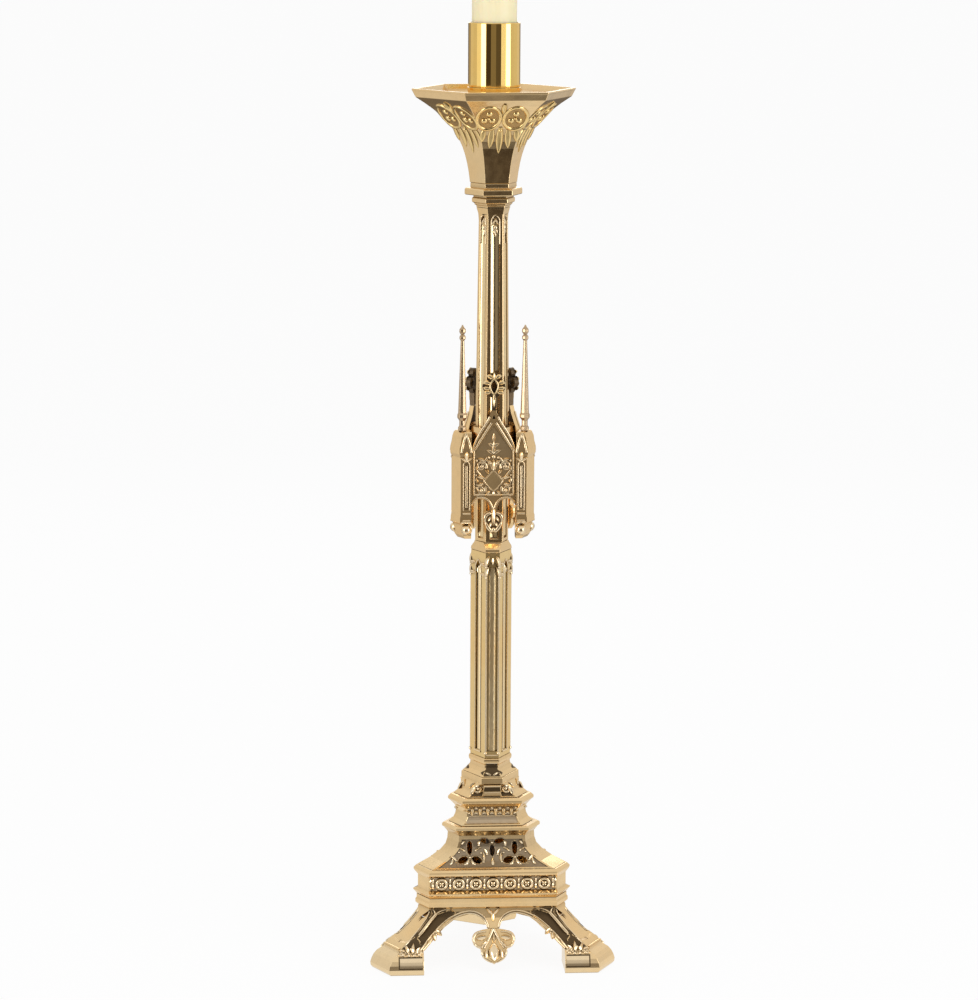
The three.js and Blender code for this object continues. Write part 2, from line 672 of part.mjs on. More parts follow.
function makeLowerShaft() {
  const levels = [[lowerLow, SHAFT_SPAN, SHAFT_CORNER], [lowerTop, SHAFT_SPAN, SHAFT_CORNER]];
  const bore = throughLevels(levels, 1, 1);
  const core = tier(bore, SHAFT_PANEL_DEPTH);
  const spring = lowerTop - 20;
  const solid = tier(levels).subtract(tier(bore, SHAFT_WALL));
  const narrow = cutter(lancet(NARROW_PANEL, lowerLow + 8, spring), CUT_START, 2);
  const broad = cutter(lancet(BROAD_PANEL, lowerLow + 8, spring), CUT_START, 2);
  return cutAround(cutAround(solid, narrow, FRONT_SIDES, core), broad, CORNERS, core);
}

// Shoulder between the triangular and the hexagonal shaft

const shoulderLow = lowerTop + SEAT;
const shoulderTop = shoulderLow + SHOULDER_HEIGHT;

function makeShoulder() {
  const solid = tier([
    [shoulderLow, SHAFT_SPAN, SHAFT_CORNER],
    [shoulderLow + 1.5, SHAFT_SPAN + 0.8, SHAFT_CORNER + 0.4],
    [shoulderLow + 4, SHAFT_SPAN, SHAFT_CORNER],
    [shoulderTop - 1.5, UPPER_RADIUS * 2 + 1, UPPER_RADIUS + 0.5],
    [shoulderTop, UPPER_RADIUS * 2 + 1, UPPER_RADIUS + 0.5],
  ]);
  const spigot = tier([[shoulderLow - SPIGOT_HEIGHT, SHAFT_SPAN, SHAFT_CORNER],
    [shoulderLow + 1, SHAFT_SPAN, SHAFT_CORNER]], SHAFT_WALL + SEAT);
  return rodHole(solid.add(spigot), shoulderLow - SPIGOT_HEIGHT, shoulderTop);
}

// Upper shaft, which runs through the knop and ends in a flared cap

const upperLow = shoulderTop + SEAT;
const upperTop = upperLow + UPPER_SHAFT_LENGTH;

function makeUpperShaft() {
  const cos30 = Math.cos(Math.PI / 6);
  const profile = [
    [UPPER_RADIUS, upperLow],
    [UPPER_RADIUS, upperLow + UPPER_STRAIGHT],
    [UPPER_NECK_RADIUS, upperTop - UPPER_CAP_HEIGHT],
    [UPPER_NECK_RADIUS + 0.6, upperTop - UPPER_CAP_HEIGHT * 0.5],
    [UPPER_CAP_RADIUS - 0.8, upperTop - UPPER_CAP_HEIGHT * 0.15],
    [UPPER_CAP_RADIUS, upperTop],
  ];
  const sunk = profile.map(([radius, z]) => [radius - UPPER_PANEL_DEPTH / cos30, z]);
  const bore = turned([[UPPER_BORE, upperLow - 1], [UPPER_BORE, upperTop + 1]], 16);
  const panel = lancet(UPPER_PANEL, upperLow + 4, upperTop - UPPER_CAP_HEIGHT - 1);
  const solid = toSolid(hexagonal(profile)).subtract(toSolid(bore));
  return cutAround(solid, cutter(panel, CUT_START, 2), HEX_SIDES, toSolid(hexagonal(sunk)));
}

// Knop: a hexagonal sleeve, three gabled panels and three corner buttresses

const knopLow = upperLow + KNOP_RISE;
const buttressTop = knopLow + BUTTRESS_HEIGHT;
const panelBack = CORE_APOTHEM + SEAT;
const knopLevels = [
  [knopLow, KNOP_SPAN - 15, KNOP_CORNER - 4],
  [knopLow + 4, KNOP_SPAN - 9, KNOP_CORNER - 2],
  [knopLow + 11, KNOP_SPAN - 5, KNOP_CORNER - 1],
  [knopLow + 17, KNOP_SPAN - 6, KNOP_CORNER - 1],
  [knopLow + 20, KNOP_SPAN + 1.5, KNOP_CORNER],
  [knopLow + 26, KNOP_SPAN + 1.5, KNOP_CORNER],
  [knopLow + 29, KNOP_SPAN, KNOP_CORNER],
  [knopLow + 98, KNOP_SPAN, KNOP_CORNER],
  [knopLow + 102, KNOP_SPAN + 3, KNOP_CORNER],
  [knopLow + 109, KNOP_SPAN + 3, KNOP_CORNER],
  [knopLow + 114, KNOP_SPAN, KNOP_CORNER],
  [knopLow + 122, KNOP_SPAN - 2, KNOP_CORNER],
  [buttressTop - 1.5, KNOP_SPAN - 6, KNOP_CORNER],
  [buttressTop, KNOP_SPAN - 10, KNOP_CORNER],
];

function makeKnopCore() {
  const apothem = CORE_APOTHEM;
  const outer = faceted([
    [apothem - 2, knopLow + CORE_RISE],
    [apothem, knopLow + CORE_RISE + 3],
    [apothem, buttressTop - 4],
    [apothem - 1.8, buttressTop + 2],
  ], 6);
  const shaft = UPPER_RADIUS + SEAT;
  const bore = hexagonal([[shaft, knopLow], [shaft, buttressTop + 5]]).rotateZ(radians(UPPER_TURN));
  return toSolid(outer).subtract(toSolid(bore));
}

function makeButtress() {
  const corner = tier(knopLevels).intersect(cornerWedge(knopLow - 1, buttressTop + 1));
  const bay = frontPrism(rectangle(PANEL_HALF + SEAT, knopLow - 1, buttressTop + 1), -PANEL_HALF, CUT_REACH);
  const slit = lancet(SLIT_WIDTH, knopLow + 36, knopLow + 88);
  const depth = mainApothem(KNOP_SPAN, KNOP_CORNER) - 2;
  const middle = PANEL_HALF + 6.2;
  const right = cutter(slit, depth, 2).translate(middle, 0, 0);
  const left = cutter(slit, depth, 2).translate(-middle, 0, 0);
  return cutAround(cutAround(cutAround(corner, bay, [0, 120]), right, [0]), left, [120]);
}

// Gabled panel with an ogee coping, a sunk field, two small arches below and a leaf on their stem.
function panelOutline() {
  const half = PANEL_HALF;
  const low = knopLow + PANEL_FOOT;
  const stem = 4;
  const leafTop = knopLow + 33;
  const foot = knopLow + GABLE_FOOT;
  const top = knopLow + OGEE_TOP;
  const shape = new THREE.Shape();
  shape.moveTo(stem, leafTop);
  shape.bezierCurveTo(stem + 1, low - 1, stem + 4, low + 5, half / 2 + 2, low + 5);
  shape.bezierCurveTo(half - 5, low + 5, half - 2, low + 2, half, low - 3);
  shape.lineTo(half, foot);
  shape.bezierCurveTo(half - 5, foot + 22, 7, GABLE_TOP + knopLow - 6, 2.6, top);
  shape.lineTo(-2.6, top);
  shape.bezierCurveTo(-7, GABLE_TOP + knopLow - 6, -half + 5, foot + 22, -half, foot);
  shape.lineTo(-half, low - 3);
  shape.bezierCurveTo(-half + 2, low + 2, -half + 5, low + 5, -half / 2 - 2, low + 5);
  shape.bezierCurveTo(-stem - 4, low + 5, -stem - 1, low - 1, -stem, leafTop);
  shape.closePath();
  return shape;
}

function makePanel() {
  const front = panelBack + PANEL_THICKNESS;
  const edge = 4;
  const field = polygon([
    [-PANEL_HALF + edge, knopLow + PANEL_FOOT + 10], [PANEL_HALF - edge, knopLow + PANEL_FOOT + 10],
    [PANEL_HALF - edge, knopLow + GABLE_FOOT - 2], [0, knopLow + GABLE_TOP - 6],
    [-PANEL_HALF + edge, knopLow + GABLE_FOOT - 2],
  ]);
  const eyeLow = knopLow + GABLE_TOP + 2;
  const eye = polygon([[-2, eyeLow], [2, eyeLow], [0, eyeLow + 5]]);
  const leaf = frontPrism(leafOutline(KNOP_LEAF_SPAN, KNOP_LEAF_LENGTH), panelBack, front, 3);
  const plate = toSolid(frontPrism(panelOutline(), panelBack, front, 5))
    .add(toSolid(leaf.translate(0, 0, knopLow + 34)));
  const sunk = plate.subtract(toSolid(frontPrism(field, front - FIELD_DEPTH, front + 5)));
  return sunk.subtract(toSolid(frontPrism(eye, panelBack - 1, front + 1)));
}

// Finial on a gable: a stem and an open fleuron of four lobes
function makeFinial() {
  const low = knopLow + OGEE_TOP + SEAT;
  const inner = panelBack + (PANEL_THICKNESS - FINIAL_THICKNESS) / 2;
  const outer = inner + FINIAL_THICKNESS;
  const centre = low + FINIAL_HEIGHT - FINIAL_SPAN * 0.62;
  const lobe = FINIAL_SPAN * 0.24;
  const arm = FINIAL_SPAN / 2 - lobe;
  const eye = new THREE.Shape();
  const reach = FINIAL_EYE_HEIGHT / 2;
  eye.moveTo(0, centre - reach);
  eye.quadraticCurveTo(FINIAL_EYE_WIDTH, centre, 0, centre + reach);
  eye.quadraticCurveTo(-FINIAL_EYE_WIDTH, centre, 0, centre - reach);
  let solid = toSolid(frontPrism(rectangle(2.2, low, centre - arm), inner, outer));
  for (const [x, y] of [[arm, 0], [-arm, 0], [0, arm * 1.46], [0, -arm]]) {
    solid = solid.add(toSolid(frontPrism(disc(x, centre + y, lobe), inner, outer, 6)));
  }
  return solid.subtract(toSolid(frontPrism(eye, inner - 1, outer + 1, 5)));
}

function makePinnacle() {
  const low = buttressTop + SEAT;
  const top = low + PINNACLE_HEIGHT;
  const thick = PINNACLE_RADIUS;
  const profile = [
    [thick - 0.6, low], [thick - 0.6, low + 4], [thick - 2, low + 6], [thick - 2, low + 12],
    [thick + 0.4, low + 15.5], [thick + 0.4, low + 19], [thick - 0.6, low + 21],
    [thick * 0.4, top - 18.5], [thick * 0.66, top - 16.5], [thick * 0.66, top - 13.5],
    [thick * 0.36, top - 11.5], [thick * 0.7, top - 8.5], [thick * 0.66, top - 5],
    [thick * 0.3, top - 2.5], [0.6, top],
  ];
  return toSolid(turned(profile, 8, radians(22.5)).translate(0, -PINNACLE_REACH, 0));
}

// Capital under the pan

const capitalLow = upperTop + SEAT;
const capitalTop = capitalLow + CAPITAL_HEIGHT;

function makeCapital() {
  const step = UPPER_CAP_RADIUS;
  const solid = toSolid(hexagonal([
    [step, capitalLow], [step, capitalLow + 2], [step + 2.3, capitalLow + 3], [step + 2.3, capitalLow + 4.5],
    [step + 5.3, capitalLow + 6], [step + 5.3, capitalLow + 10.5], [step + 3.5, capitalLow + 12],
    [step + 3.5, capitalLow + 13.5], [CAPITAL_RADIUS - 1.3, capitalLow + 14.5],
    [CAPITAL_RADIUS, capitalLow + 15.5],
    [CAPITAL_RADIUS, capitalLow + 21], [CAPITAL_RADIUS - 1.3, capitalLow + 22.5],
    [PAN_NECK - 0.5, capitalLow + 23.5], [PAN_NECK - 0.5, capitalTop],
  ]));
  return rodHole(solid, capitalLow, capitalTop);
}

// Pan: a hexagonal trumpet, hollow below, with a shallow dish and an upright lip

const panLow = capitalTop + SEAT;
const panTop = panLow + PAN_HEIGHT;
const dishFloor = panTop - DISH_DEPTH;

function makePan() {
  const lipFoot = panTop - PAN_LIP;
  const height = lipFoot - panLow;
  const wide = PAN_RADIUS - 4.8;
  const curve = new THREE.CubicBezierCurve(
    new THREE.Vector2(PAN_NECK, panLow),
    new THREE.Vector2(PAN_NECK + 5.4, panLow + height * 0.49),
    new THREE.Vector2(PAN_NECK + 19, panLow + height * 0.72),
    new THREE.Vector2(wide, lipFoot),
  );
  const trumpet = curve.getPoints(12).map((point) => [point.x, point.y]);
  const solid = toSolid(hexagonal([...trumpet, [PAN_RADIUS - 1, panTop - 3], [PAN_RADIUS, panTop - 1.5],
    [PAN_RADIUS - 0.6, panTop]]));
  const dish = toSolid(hexagonal([
    [PAN_RADIUS * 0.5, dishFloor], [PAN_RADIUS * 0.8, dishFloor + 1.5], [PAN_RADIUS - 9, panTop - 6],
    [PAN_RADIUS - 4.5, panTop + 1],
  ]));
  const chamberTop = dishFloor - PAN_WALL;
  const chamber = trumpet.filter(([radius, z]) => z < chamberTop - 6 && radius < 70)
    .map(([radius, z]) => [radius - PAN_WALL * 1.3, z]);
  const hollow = toSolid(hexagonal([[PAN_NECK - PAN_WALL * 1.3, panLow - 1], ...chamber.slice(1),
    [chamber[chamber.length - 1][0], chamberTop]]));
  return rodHole(solid.subtract(dish).subtract(hollow), dishFloor - 10, dishFloor);
}

// Socket ring and socket, screwed down on the rod

const ringLow = dishFloor + SEAT;
const socketLow = ringLow + SOCKET_RING_HEIGHT + SEAT;
const socketTop = socketLow + SOCKET_HEIGHT;
const socketFloor = socketLow + SOCKET_FLOOR;
const rodTop = socketLow + 1.5;

function makeSocketRing() {
  const radius = SOCKET_RING_RADIUS;
  const solid = toSolid(turned([
    [radius + 3, ringLow], [radius + 3, ringLow + 3], [radius - 0.6, ringLow + 5.5],
    [radius, ringLow + 8.5], [radius, ringLow + SOCKET_RING_HEIGHT],
  ], 32));
  const bore = SOCKET_BOSS_RADIUS + SEAT;
  return solid.subtract(toSolid(turned([[bore, ringLow - 1], [bore, socketLow + 1]], 16)));
}

function makeSocket() {
  const inner = SOCKET_RADIUS - SOCKET_WALL;
  const outer = toSolid(turned([[SOCKET_RADIUS, socketLow], [SOCKET_RADIUS, socketTop - 0.6],
    [SOCKET_RADIUS - 0.6, socketTop]], 32));
  const cup = toSolid(turned([[inner, socketFloor], [inner, socketTop + 1]], 32));
  const boss = toSolid(turned([[SOCKET_BOSS_RADIUS, ringLow + 2], [SOCKET_BOSS_RADIUS, socketLow + 1]], 16));
  const tap = ROD_RADIUS + ROD_PLAY;
  const blind = toSolid(turned([[tap, ringLow], [tap, rodTop + SEAT]], 16));
  return outer.subtract(cup).add(boss).subtract(blind);
}

// Tie rod, nut and washer

const deckUnder = legTop - DECK_THICKNESS;
const washerLow = deckUnder - SEAT - WASHER_THICKNESS;
const nutLow = washerLow - SEAT - NUT_HEIGHT;
const rodLow = nutLow - ROD_TAIL;

function makeRod() {
  const end = ROD_RADIUS - 1;
  const profile = [[end, rodLow], [ROD_RADIUS, rodLow + 1], [ROD_RADIUS, rodTop - 1], [end, rodTop]];
  return toSolid(turned(profile, 16));
}

function makeWasher() {
  const washerTop = washerLow + WASHER_THICKNESS;
  const solid = toSolid(turned([[WASHER_RADIUS, washerLow], [WASHER_RADIUS, washerTop]], 24));
  return rodHole(solid, washerLow, washerTop);
}

function makeNut() {
  const solid = toSolid(faceted([[NUT_APOTHEM, nutLow], [NUT_APOTHEM, nutLow + NUT_HEIGHT]], 6));
  return rodHole(solid, nutLow, nutLow + NUT_HEIGHT);
}

// Candle

const candleLow = socketFloor + SEAT;
const candleTop = candleLow + CANDLE_LENGTH;

function makeWax() {
  const well = 2.5;
  const solid = toSolid(turned([
    [CANDLE_RADIUS, candleLow], [CANDLE_RADIUS, candleTop - 4], [CANDLE_RADIUS - 3, candleTop - 0.8],
    [CANDLE_RADIUS - 9, candleTop],
  ], 32));
  const hole = WICK_RADIUS + SEAT;
  return solid.subtract(toSolid(turned([[hole, candleTop - WICK_LENGTH / 2], [hole, candleTop - well],
    [hole + 1, candleTop + 1]], 12)));
}

function makeWick() {
  const low = candleTop - WICK_LENGTH / 2 + SEAT;
  return toSolid(turned([[WICK_RADIUS, low], [WICK_RADIUS, low + WICK_LENGTH - 1],
    [WICK_RADIUS - 0.6, low + WICK_LENGTH]], 10));
}

// Assembly. The origin lies on the floor, midway between the front and the back of the feet.

const frontReach = mainApothem(FOOT_SPAN, FOOT_CORNER);
const backReach = cornerApothem(FOOT_SPAN, FOOT_CORNER);

const candlestick = new THREE.Group();
const stack = new THREE.Group();
stack.position.y = (frontReach - backReach) / 2;
candlestick.add(stack);
const upper = new THREE.Group();
upper.rotation.z = radians(UPPER_TURN);
stack.add(upper);

function place(name, solid, material, group = stack, turn = 0) {
  const mesh = new THREE.Mesh(toGeometry(solid), material);
  mesh.name = name;
  mesh.rotation.z = radians(turn);
  group.add(mesh);
}

function placeThree(names, solid, material, turns) {
  names.forEach((name, i) => place(name, solid, material, stack, turns[i]));
}

const SIDE_NAMES = ['front', 'right', 'left'];
const CORNER_NAMES = ['front_right', 'back', 'front_left'];

placeThree(CORNER_NAMES.map((name) => `foot_${name}`), makeFoot(), BRASS, [0, 120, 240]);
place('leg_arcade', makeArcade(), BRASS);
placeThree(SIDE_NAMES.map((name) => `pendant_leaf_${name}`), makePendant(), BRASS, FRONT_SIDES);
place('ring_frieze_band', makeBand(), BRASS);
place('pierced_tier', makePierced(), BRASS);
place('leafed_tier', makeLeafed(), BRASS);
place('shaft_plinth', makePlinth(), BRASS);
place('shaft_foot', makeShaftFoot(), BRASS);
place('lower_shaft', makeLowerShaft(), BRASS);
place('shaft_shoulder', makeShoulder(), BRASS);
place('knop_core', makeKnopCore(), BRASS);
placeThree(SIDE_NAMES.map((name) => `knop_panel_${name}`), makePanel(), BRASS, FRONT_SIDES);
placeThree(CORNER_NAMES.map((name) => `knop_buttress_${name}`), makeButtress(), BRASS, [0, 120, 240]);
placeThree(SIDE_NAMES.map((name) => `gable_finial_${name}`), makeFinial(), BRASS, FRONT_SIDES);
placeThree(CORNER_NAMES.map((name) => `pinnacle_${name}`), makePinnacle(), BRASS, CORNERS);
place('upper_shaft', makeUpperShaft(), BRASS, upper);
place('capital', makeCapital(), BRASS, upper);
place('drip_pan', makePan(), BRASS, upper);
place('socket_ring', makeSocketRing(), BRIGHT_BRASS);
place('candle_socket', makeSocket(), BRIGHT_BRASS);
place('tie_rod', makeRod(), STEEL);
place('rod_washer', makeWasher(), STEEL);
place('rod_nut', makeNut(), STEEL);
place('candle_wax', makeWax(), WAX);
place('candle_wick', makeWick(), COTTON);

export default candlestick;
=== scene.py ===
from functools import cache
from math import cos, pi, radians, sin

import bmesh
import bpy
from mathutils import Matrix, Vector, noise
from mathutils.bvhtree import BVHTree
from mathutils.geometry import intersect_line_plane


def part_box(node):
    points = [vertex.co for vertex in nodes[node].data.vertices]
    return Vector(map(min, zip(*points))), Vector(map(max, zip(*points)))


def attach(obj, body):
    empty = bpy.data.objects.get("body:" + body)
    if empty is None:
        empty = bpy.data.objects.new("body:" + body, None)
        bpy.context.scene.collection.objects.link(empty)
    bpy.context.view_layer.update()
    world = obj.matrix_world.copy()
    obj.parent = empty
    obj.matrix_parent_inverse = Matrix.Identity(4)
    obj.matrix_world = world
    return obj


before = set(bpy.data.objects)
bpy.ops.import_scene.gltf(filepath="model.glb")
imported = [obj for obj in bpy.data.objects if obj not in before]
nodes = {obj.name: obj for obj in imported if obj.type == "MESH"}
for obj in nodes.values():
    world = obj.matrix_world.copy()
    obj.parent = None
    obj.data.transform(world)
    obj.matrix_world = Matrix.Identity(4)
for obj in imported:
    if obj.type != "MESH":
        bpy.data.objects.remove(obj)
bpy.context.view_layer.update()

# Sizes below are in millimetres; u runs to the right along a side and z upward, from the floor or
# from the place that a heading names. Angles are in degrees.
MM = 0.001
AXIS = Vector((0.0, -30.03, 0.0)) * MM
UP = Vector((0.0, 0.0, 1.0))
SIDES = (0, 120, 240)
BROAD_SIDES = (60, 180, 300)
UPPER_TURN = 6
HEX_SIDES = tuple(UPPER_TURN + 60 * i for i in range(6))
SIDE_NAMES = ("front", "right", "left")
CORNER_NAMES = ("front_right", "back", "front_left")


def foot_of(node):
    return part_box(node)[0][2] / MM


def top_of(node):
    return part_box(node)[1][2] / MM


def add_object(name, data):
    obj = bpy.data.objects.new(name, data)
    bpy.context.scene.collection.objects.link(obj)
    return obj


# Camera: a little left of the front, looking down

CAMERA_PITCH = 10.51
CAMERA_SWING = 3.92
CAMERA_ROLL = 0.307
CAMERA_DISTANCE = 3998.7
CAMERA_AIM = 556.0
CAMERA_ASIDE = 3.33
SENSOR_HEIGHT = 36.0
LENS = 121.32


def add_camera():
    pitch = radians(CAMERA_PITCH)
    swing = radians(CAMERA_SWING)
    target = Vector((0.0, AXIS.y / MM, CAMERA_AIM))
    away = Vector((-cos(pitch) * sin(swing),
                   -cos(pitch) * cos(swing),
                   sin(pitch)))
    right = Vector((cos(swing), -sin(swing), 0.0))
    place = target + away * CAMERA_DISTANCE - right * CAMERA_ASIDE
    data = bpy.data.cameras.new("camera")
    data.sensor_fit = "VERTICAL"
    data.sensor_height = SENSOR_HEIGHT
    data.lens = LENS
    data.clip_end = 100.0
    cam = add_object("camera", data)
    turn = away.to_track_quat("Z", "Y").to_matrix().to_4x4()
    roll = Matrix.Rotation(radians(CAMERA_ROLL), 4, "Z")
    cam.matrix_world = Matrix.Translation(place * MM) @ turn @ roll
    bpy.context.scene.camera = cam


# Node helpers

class Nodes:
    """Builds one node tree; a value is a number, a colour or the output of another node."""

    def __init__(self, tree):
        self.tree = tree
        tree.nodes.clear()

    def add(self, kind, **values):
        node = self.tree.nodes.new(kind)
        for name, value in values.items():
            setattr(node, name, value)
        return node

    def link(self, source, target):
        self.tree.links.new(source, target)

    def feed(self, socket, value):
        if isinstance(value, bpy.types.NodeSocket):
            self.link(value, socket)
        elif isinstance(value, tuple):
            socket.default_value = (*value, 1.0)
        elif value is not None:
            socket.default_value = value

    def set(self, node, name, value):
        self.feed(node.inputs[name], value)

    def math(self, operation, a, b=None, c=None):
        node = self.add("ShaderNodeMath", operation=operation)
        self.feed(node.inputs[0], a)
        self.feed(node.inputs[1], b)
        self.feed(node.inputs[2], c)
        return node.outputs[0]

    def mix(self, factor, a, b):
        node = self.add("ShaderNodeMix", data_type="RGBA")
        self.set(node, "Factor", factor)
        self.feed(node.inputs[6], a)
        self.feed(node.inputs[7], b)
        return node.outputs[2]

    def noise(self, scale, detail, rough, vector=None):
        node = self.add("ShaderNodeTexNoise")
        self.set(node, "Scale", scale)
        self.set(node, "Detail", detail)
        self.set(node, "Roughness", rough)
        self.set(node, "Vector", vector or self.coords())
        return node.outputs["Fac"]

    def coords(self, scale=None):
        node = self.add("ShaderNodeTexCoord")
        if scale is None:
            return node.outputs["Object"]
        mapping = self.add("ShaderNodeMapping")
        mapping.inputs["Scale"].default_value = scale
        self.link(node.outputs["Object"], mapping.inputs["Vector"])
        return mapping.outputs[0]

    def remap(self, value, low, high, out_low=0.0, out_high=1.0):
        node = self.add("ShaderNodeMapRange")
        for socket, v in zip(node.inputs, (value, low, high, out_low, out_high)):
            self.feed(socket, v)
        return node.outputs[0]

    def bump(self, height, distance, normal=None):
        node = self.add("ShaderNodeBump")
        self.set(node, "Height", height)
        self.set(node, "Distance", distance)
        self.set(node, "Strength", 1.0)
        self.set(node, "Normal", normal)
        return node.outputs[0]


def new_material(name):
    material = bpy.data.materials.new(name)
    material.use_nodes = True
    tree = Nodes(material.node_tree)
    output = tree.add("ShaderNodeOutputMaterial")
    shader = tree.add("ShaderNodeBsdfPrincipled")
    tree.link(shader.outputs[0], output.inputs[0])
    return material, tree, shader


# Materials

GOLD = (0.90, 0.68, 0.38)
DEEP = (0.12, 0.078, 0.038)


def brass(name, colour=GOLD, shade=DEEP, gloss=0.13, wave=0.3, grain=0.012, patina_and_shade_depth=0.75, reach=6.0):
    """Cast brass: wavy polish and fine grain, darker and duller in the hollows.

    The shade is the colour the hollows turn to, as painted shade found by ambient occlusion along with
    their real oxide, and a share says how far they turn; the reach is how wide a hollow counts.
    Gloss is the roughness of the open metal. Wave and grain are bump heights.
    """
    material, t, shader = new_material(name + "_brass")
    hollow = t.add("ShaderNodeAmbientOcclusion", samples=6)
    t.set(hollow, "Distance", reach * MM)
    open_share = t.remap(hollow.outputs["AO"], 0.25, 0.95)
    cloud = t.remap(t.noise(9.0, 4.0, 0.55), 0.35, 0.65)
    speck = t.remap(t.noise(160.0, 4.0, 0.65), 0.42, 0.7)
    redder = tuple(c * k for c, k in zip(colour, (1.03, 0.94, 0.82)))
    darker = tuple(c * 0.78 for c in colour)
    tone = t.mix(cloud, colour, redder)
    tone = t.mix(t.math("MULTIPLY", speck, 0.22), tone, darker)
    # Painted shade: where ambient occlusion finds a hollow, the colour turns to the shade colour, together
    # with the hollows' real oxide.
    patina_and_painted_shade = t.math("MULTIPLY", t.math("SUBTRACT", 1.0, open_share), patina_and_shade_depth)
    tone = t.mix(patina_and_painted_shade, tone, shade)
    t.set(shader, "Base Color", tone)
    t.set(shader, "Metallic", 1.0)
    rough = t.math("MULTIPLY_ADD", speck, 0.07, gloss)
    t.set(shader, "Roughness", t.math("MULTIPLY_ADD", patina_and_painted_shade, 0.22, rough))
    swell = t.math("MULTIPLY_ADD", t.noise(75.0, 1.0, 0.4), 0.2, t.noise(22.0, 1.5, 0.4))
    normal = t.bump(swell, wave * MM)
    if grain > 0:
        normal = t.bump(t.noise(900.0, 2.0, 0.6), grain * MM, normal)
    t.set(shader, "Normal", normal)
    return material


def steel(name):
    material, t, shader = new_material(name)
    lines = t.noise(1.0, 3.0, 0.6, t.coords((60.0, 60.0, 4000.0)))
    tone = t.mix(t.remap(lines, 0.3, 0.7), (0.42, 0.43, 0.44), (0.62, 0.62, 0.61))
    t.set(shader, "Base Color", tone)
    t.set(shader, "Metallic", 1.0)
    t.set(shader, "Roughness", t.remap(lines, 0.2, 0.8, 0.28, 0.45))
    t.set(shader, "Normal", t.bump(lines, 0.02 * MM))
    return material


def wax(name):
    material, t, shader = new_material(name)
    cloud = t.noise(14.0, 4.0, 0.6)
    tone = t.mix(t.remap(cloud, 0.3, 0.7), (0.97, 0.88, 0.61), (0.94, 0.82, 0.52))
    t.set(shader, "Base Color", tone)
    t.set(shader, "Roughness", t.remap(cloud, 0.3, 0.7, 0.34, 0.46))
    t.set(shader, "Subsurface Weight", 0.25)
    shader.inputs["Subsurface Radius"].default_value = (0.9, 0.5, 0.2)
    t.set(shader, "Subsurface Scale", 0.006)
    streak = t.noise(1.0, 3.0, 0.55, t.coords((70.0, 70.0, 9.0)))
    t.set(shader, "Normal", t.bump(streak, 0.25 * MM))
    return material


def cotton(name):
    material, t, shader = new_material(name)
    wave = t.add("ShaderNodeTexWave", bands_direction="DIAGONAL")
    t.set(wave, "Scale", 260.0)
    t.set(wave, "Distortion", 1.5)
    t.set(wave, "Vector", t.coords())
    tone = t.mix(wave.outputs["Fac"], (0.55, 0.50, 0.42), (0.86, 0.83, 0.76))
    t.set(shader, "Base Color", tone)
    t.set(shader, "Roughness", 0.9)
    t.set(shader, "Normal", t.bump(wave.outputs["Fac"], 0.25 * MM))
    return material


polished = brass("polished")
# Painted shade: the pierced tier's brass turns almost black far into its hollows, darkening what shows
# through the openings.
pierced = brass("pierced", shade=(0.02, 0.012, 0.006), patina_and_shade_depth=0.97, reach=26.0)
footed = brass("foot", (0.93, 0.74, 0.46), patina_and_shade_depth=0.6, reach=2.0)
bright = brass("bright", (0.95, 0.78, 0.48), gloss=0.16, grain=0.02, patina_and_shade_depth=0.3, reach=2.5)
# Painted shade: the shaft's brass turns nearly black in its hollows, darkening the sides of its sunk panels.
shafted = brass("shaft", (0.93, 0.71, 0.35), (0.07, 0.045, 0.018), patina_and_shade_depth=0.95, reach=5.0)
panned = brass("pan", gloss=0.12, wave=0.8)
gilt = brass("gilt", (0.94, 0.71, 0.33), (0.16, 0.09, 0.03), 0.12, grain=0.01, patina_and_shade_depth=0.8, reach=3.0)
warm = brass("warm", (0.50, 0.33, 0.14), gloss=0.3, grain=0.04, patina_and_shade_depth=0.8, reach=4.0)
speckled = brass("speckled", (0.92, 0.74, 0.44), gloss=0.28, grain=0.09, patina_and_shade_depth=0.45, reach=2.0)
frosted = brass("frosted", (0.60, 0.485, 0.34), gloss=0.34, wave=0.2, grain=0.05, patina_and_shade_depth=0.8, reach=3.0)
# A near-black copy of the brass, laid as painted shade on the skirt, the fronts of the legs and round the
# feet's bands; it is also the plinth's ground.
dim = brass("dim", (0.12, 0.085, 0.048), (0.025, 0.016, 0.008), 0.4, grain=0.06, patina_and_shade_depth=0.85, reach=5.0)
chased = brass("chased", (0.95, 0.80, 0.56), gloss=0.12, wave=0.08, grain=0.01, patina_and_shade_depth=0.9, reach=2.6)
mirror = brass("mirror", (0.94, 0.66, 0.22), gloss=0.05, wave=0.03, grain=0.0, patina_and_shade_depth=0.5, reach=5.0)
satin = brass("satin", (0.58, 0.45, 0.30), gloss=0.27, wave=0.15, grain=0.02, patina_and_shade_depth=0.8, reach=8.0)
matted = brass("matted", (0.36, 0.285, 0.195), gloss=0.36, wave=0.15, grain=0.05, patina_and_shade_depth=0.85, reach=4.0)
stippled = brass("stippled", (0.78, 0.61, 0.37), gloss=0.3, wave=0.15, grain=0.05, patina_and_shade_depth=0.8, reach=2.0)
# A near-black copy of the brass: painted shade on the finials and on the backs of the gables.
shaded = brass("shaded", (0.13, 0.095, 0.06), (0.03, 0.02, 0.012), 0.42, grain=0.06, patina_and_shade_depth=0.8)
steel_finish = steel("tie_rod_steel")
wax_finish = wax("candle_wax")
cotton_finish = cotton("wick_cotton")

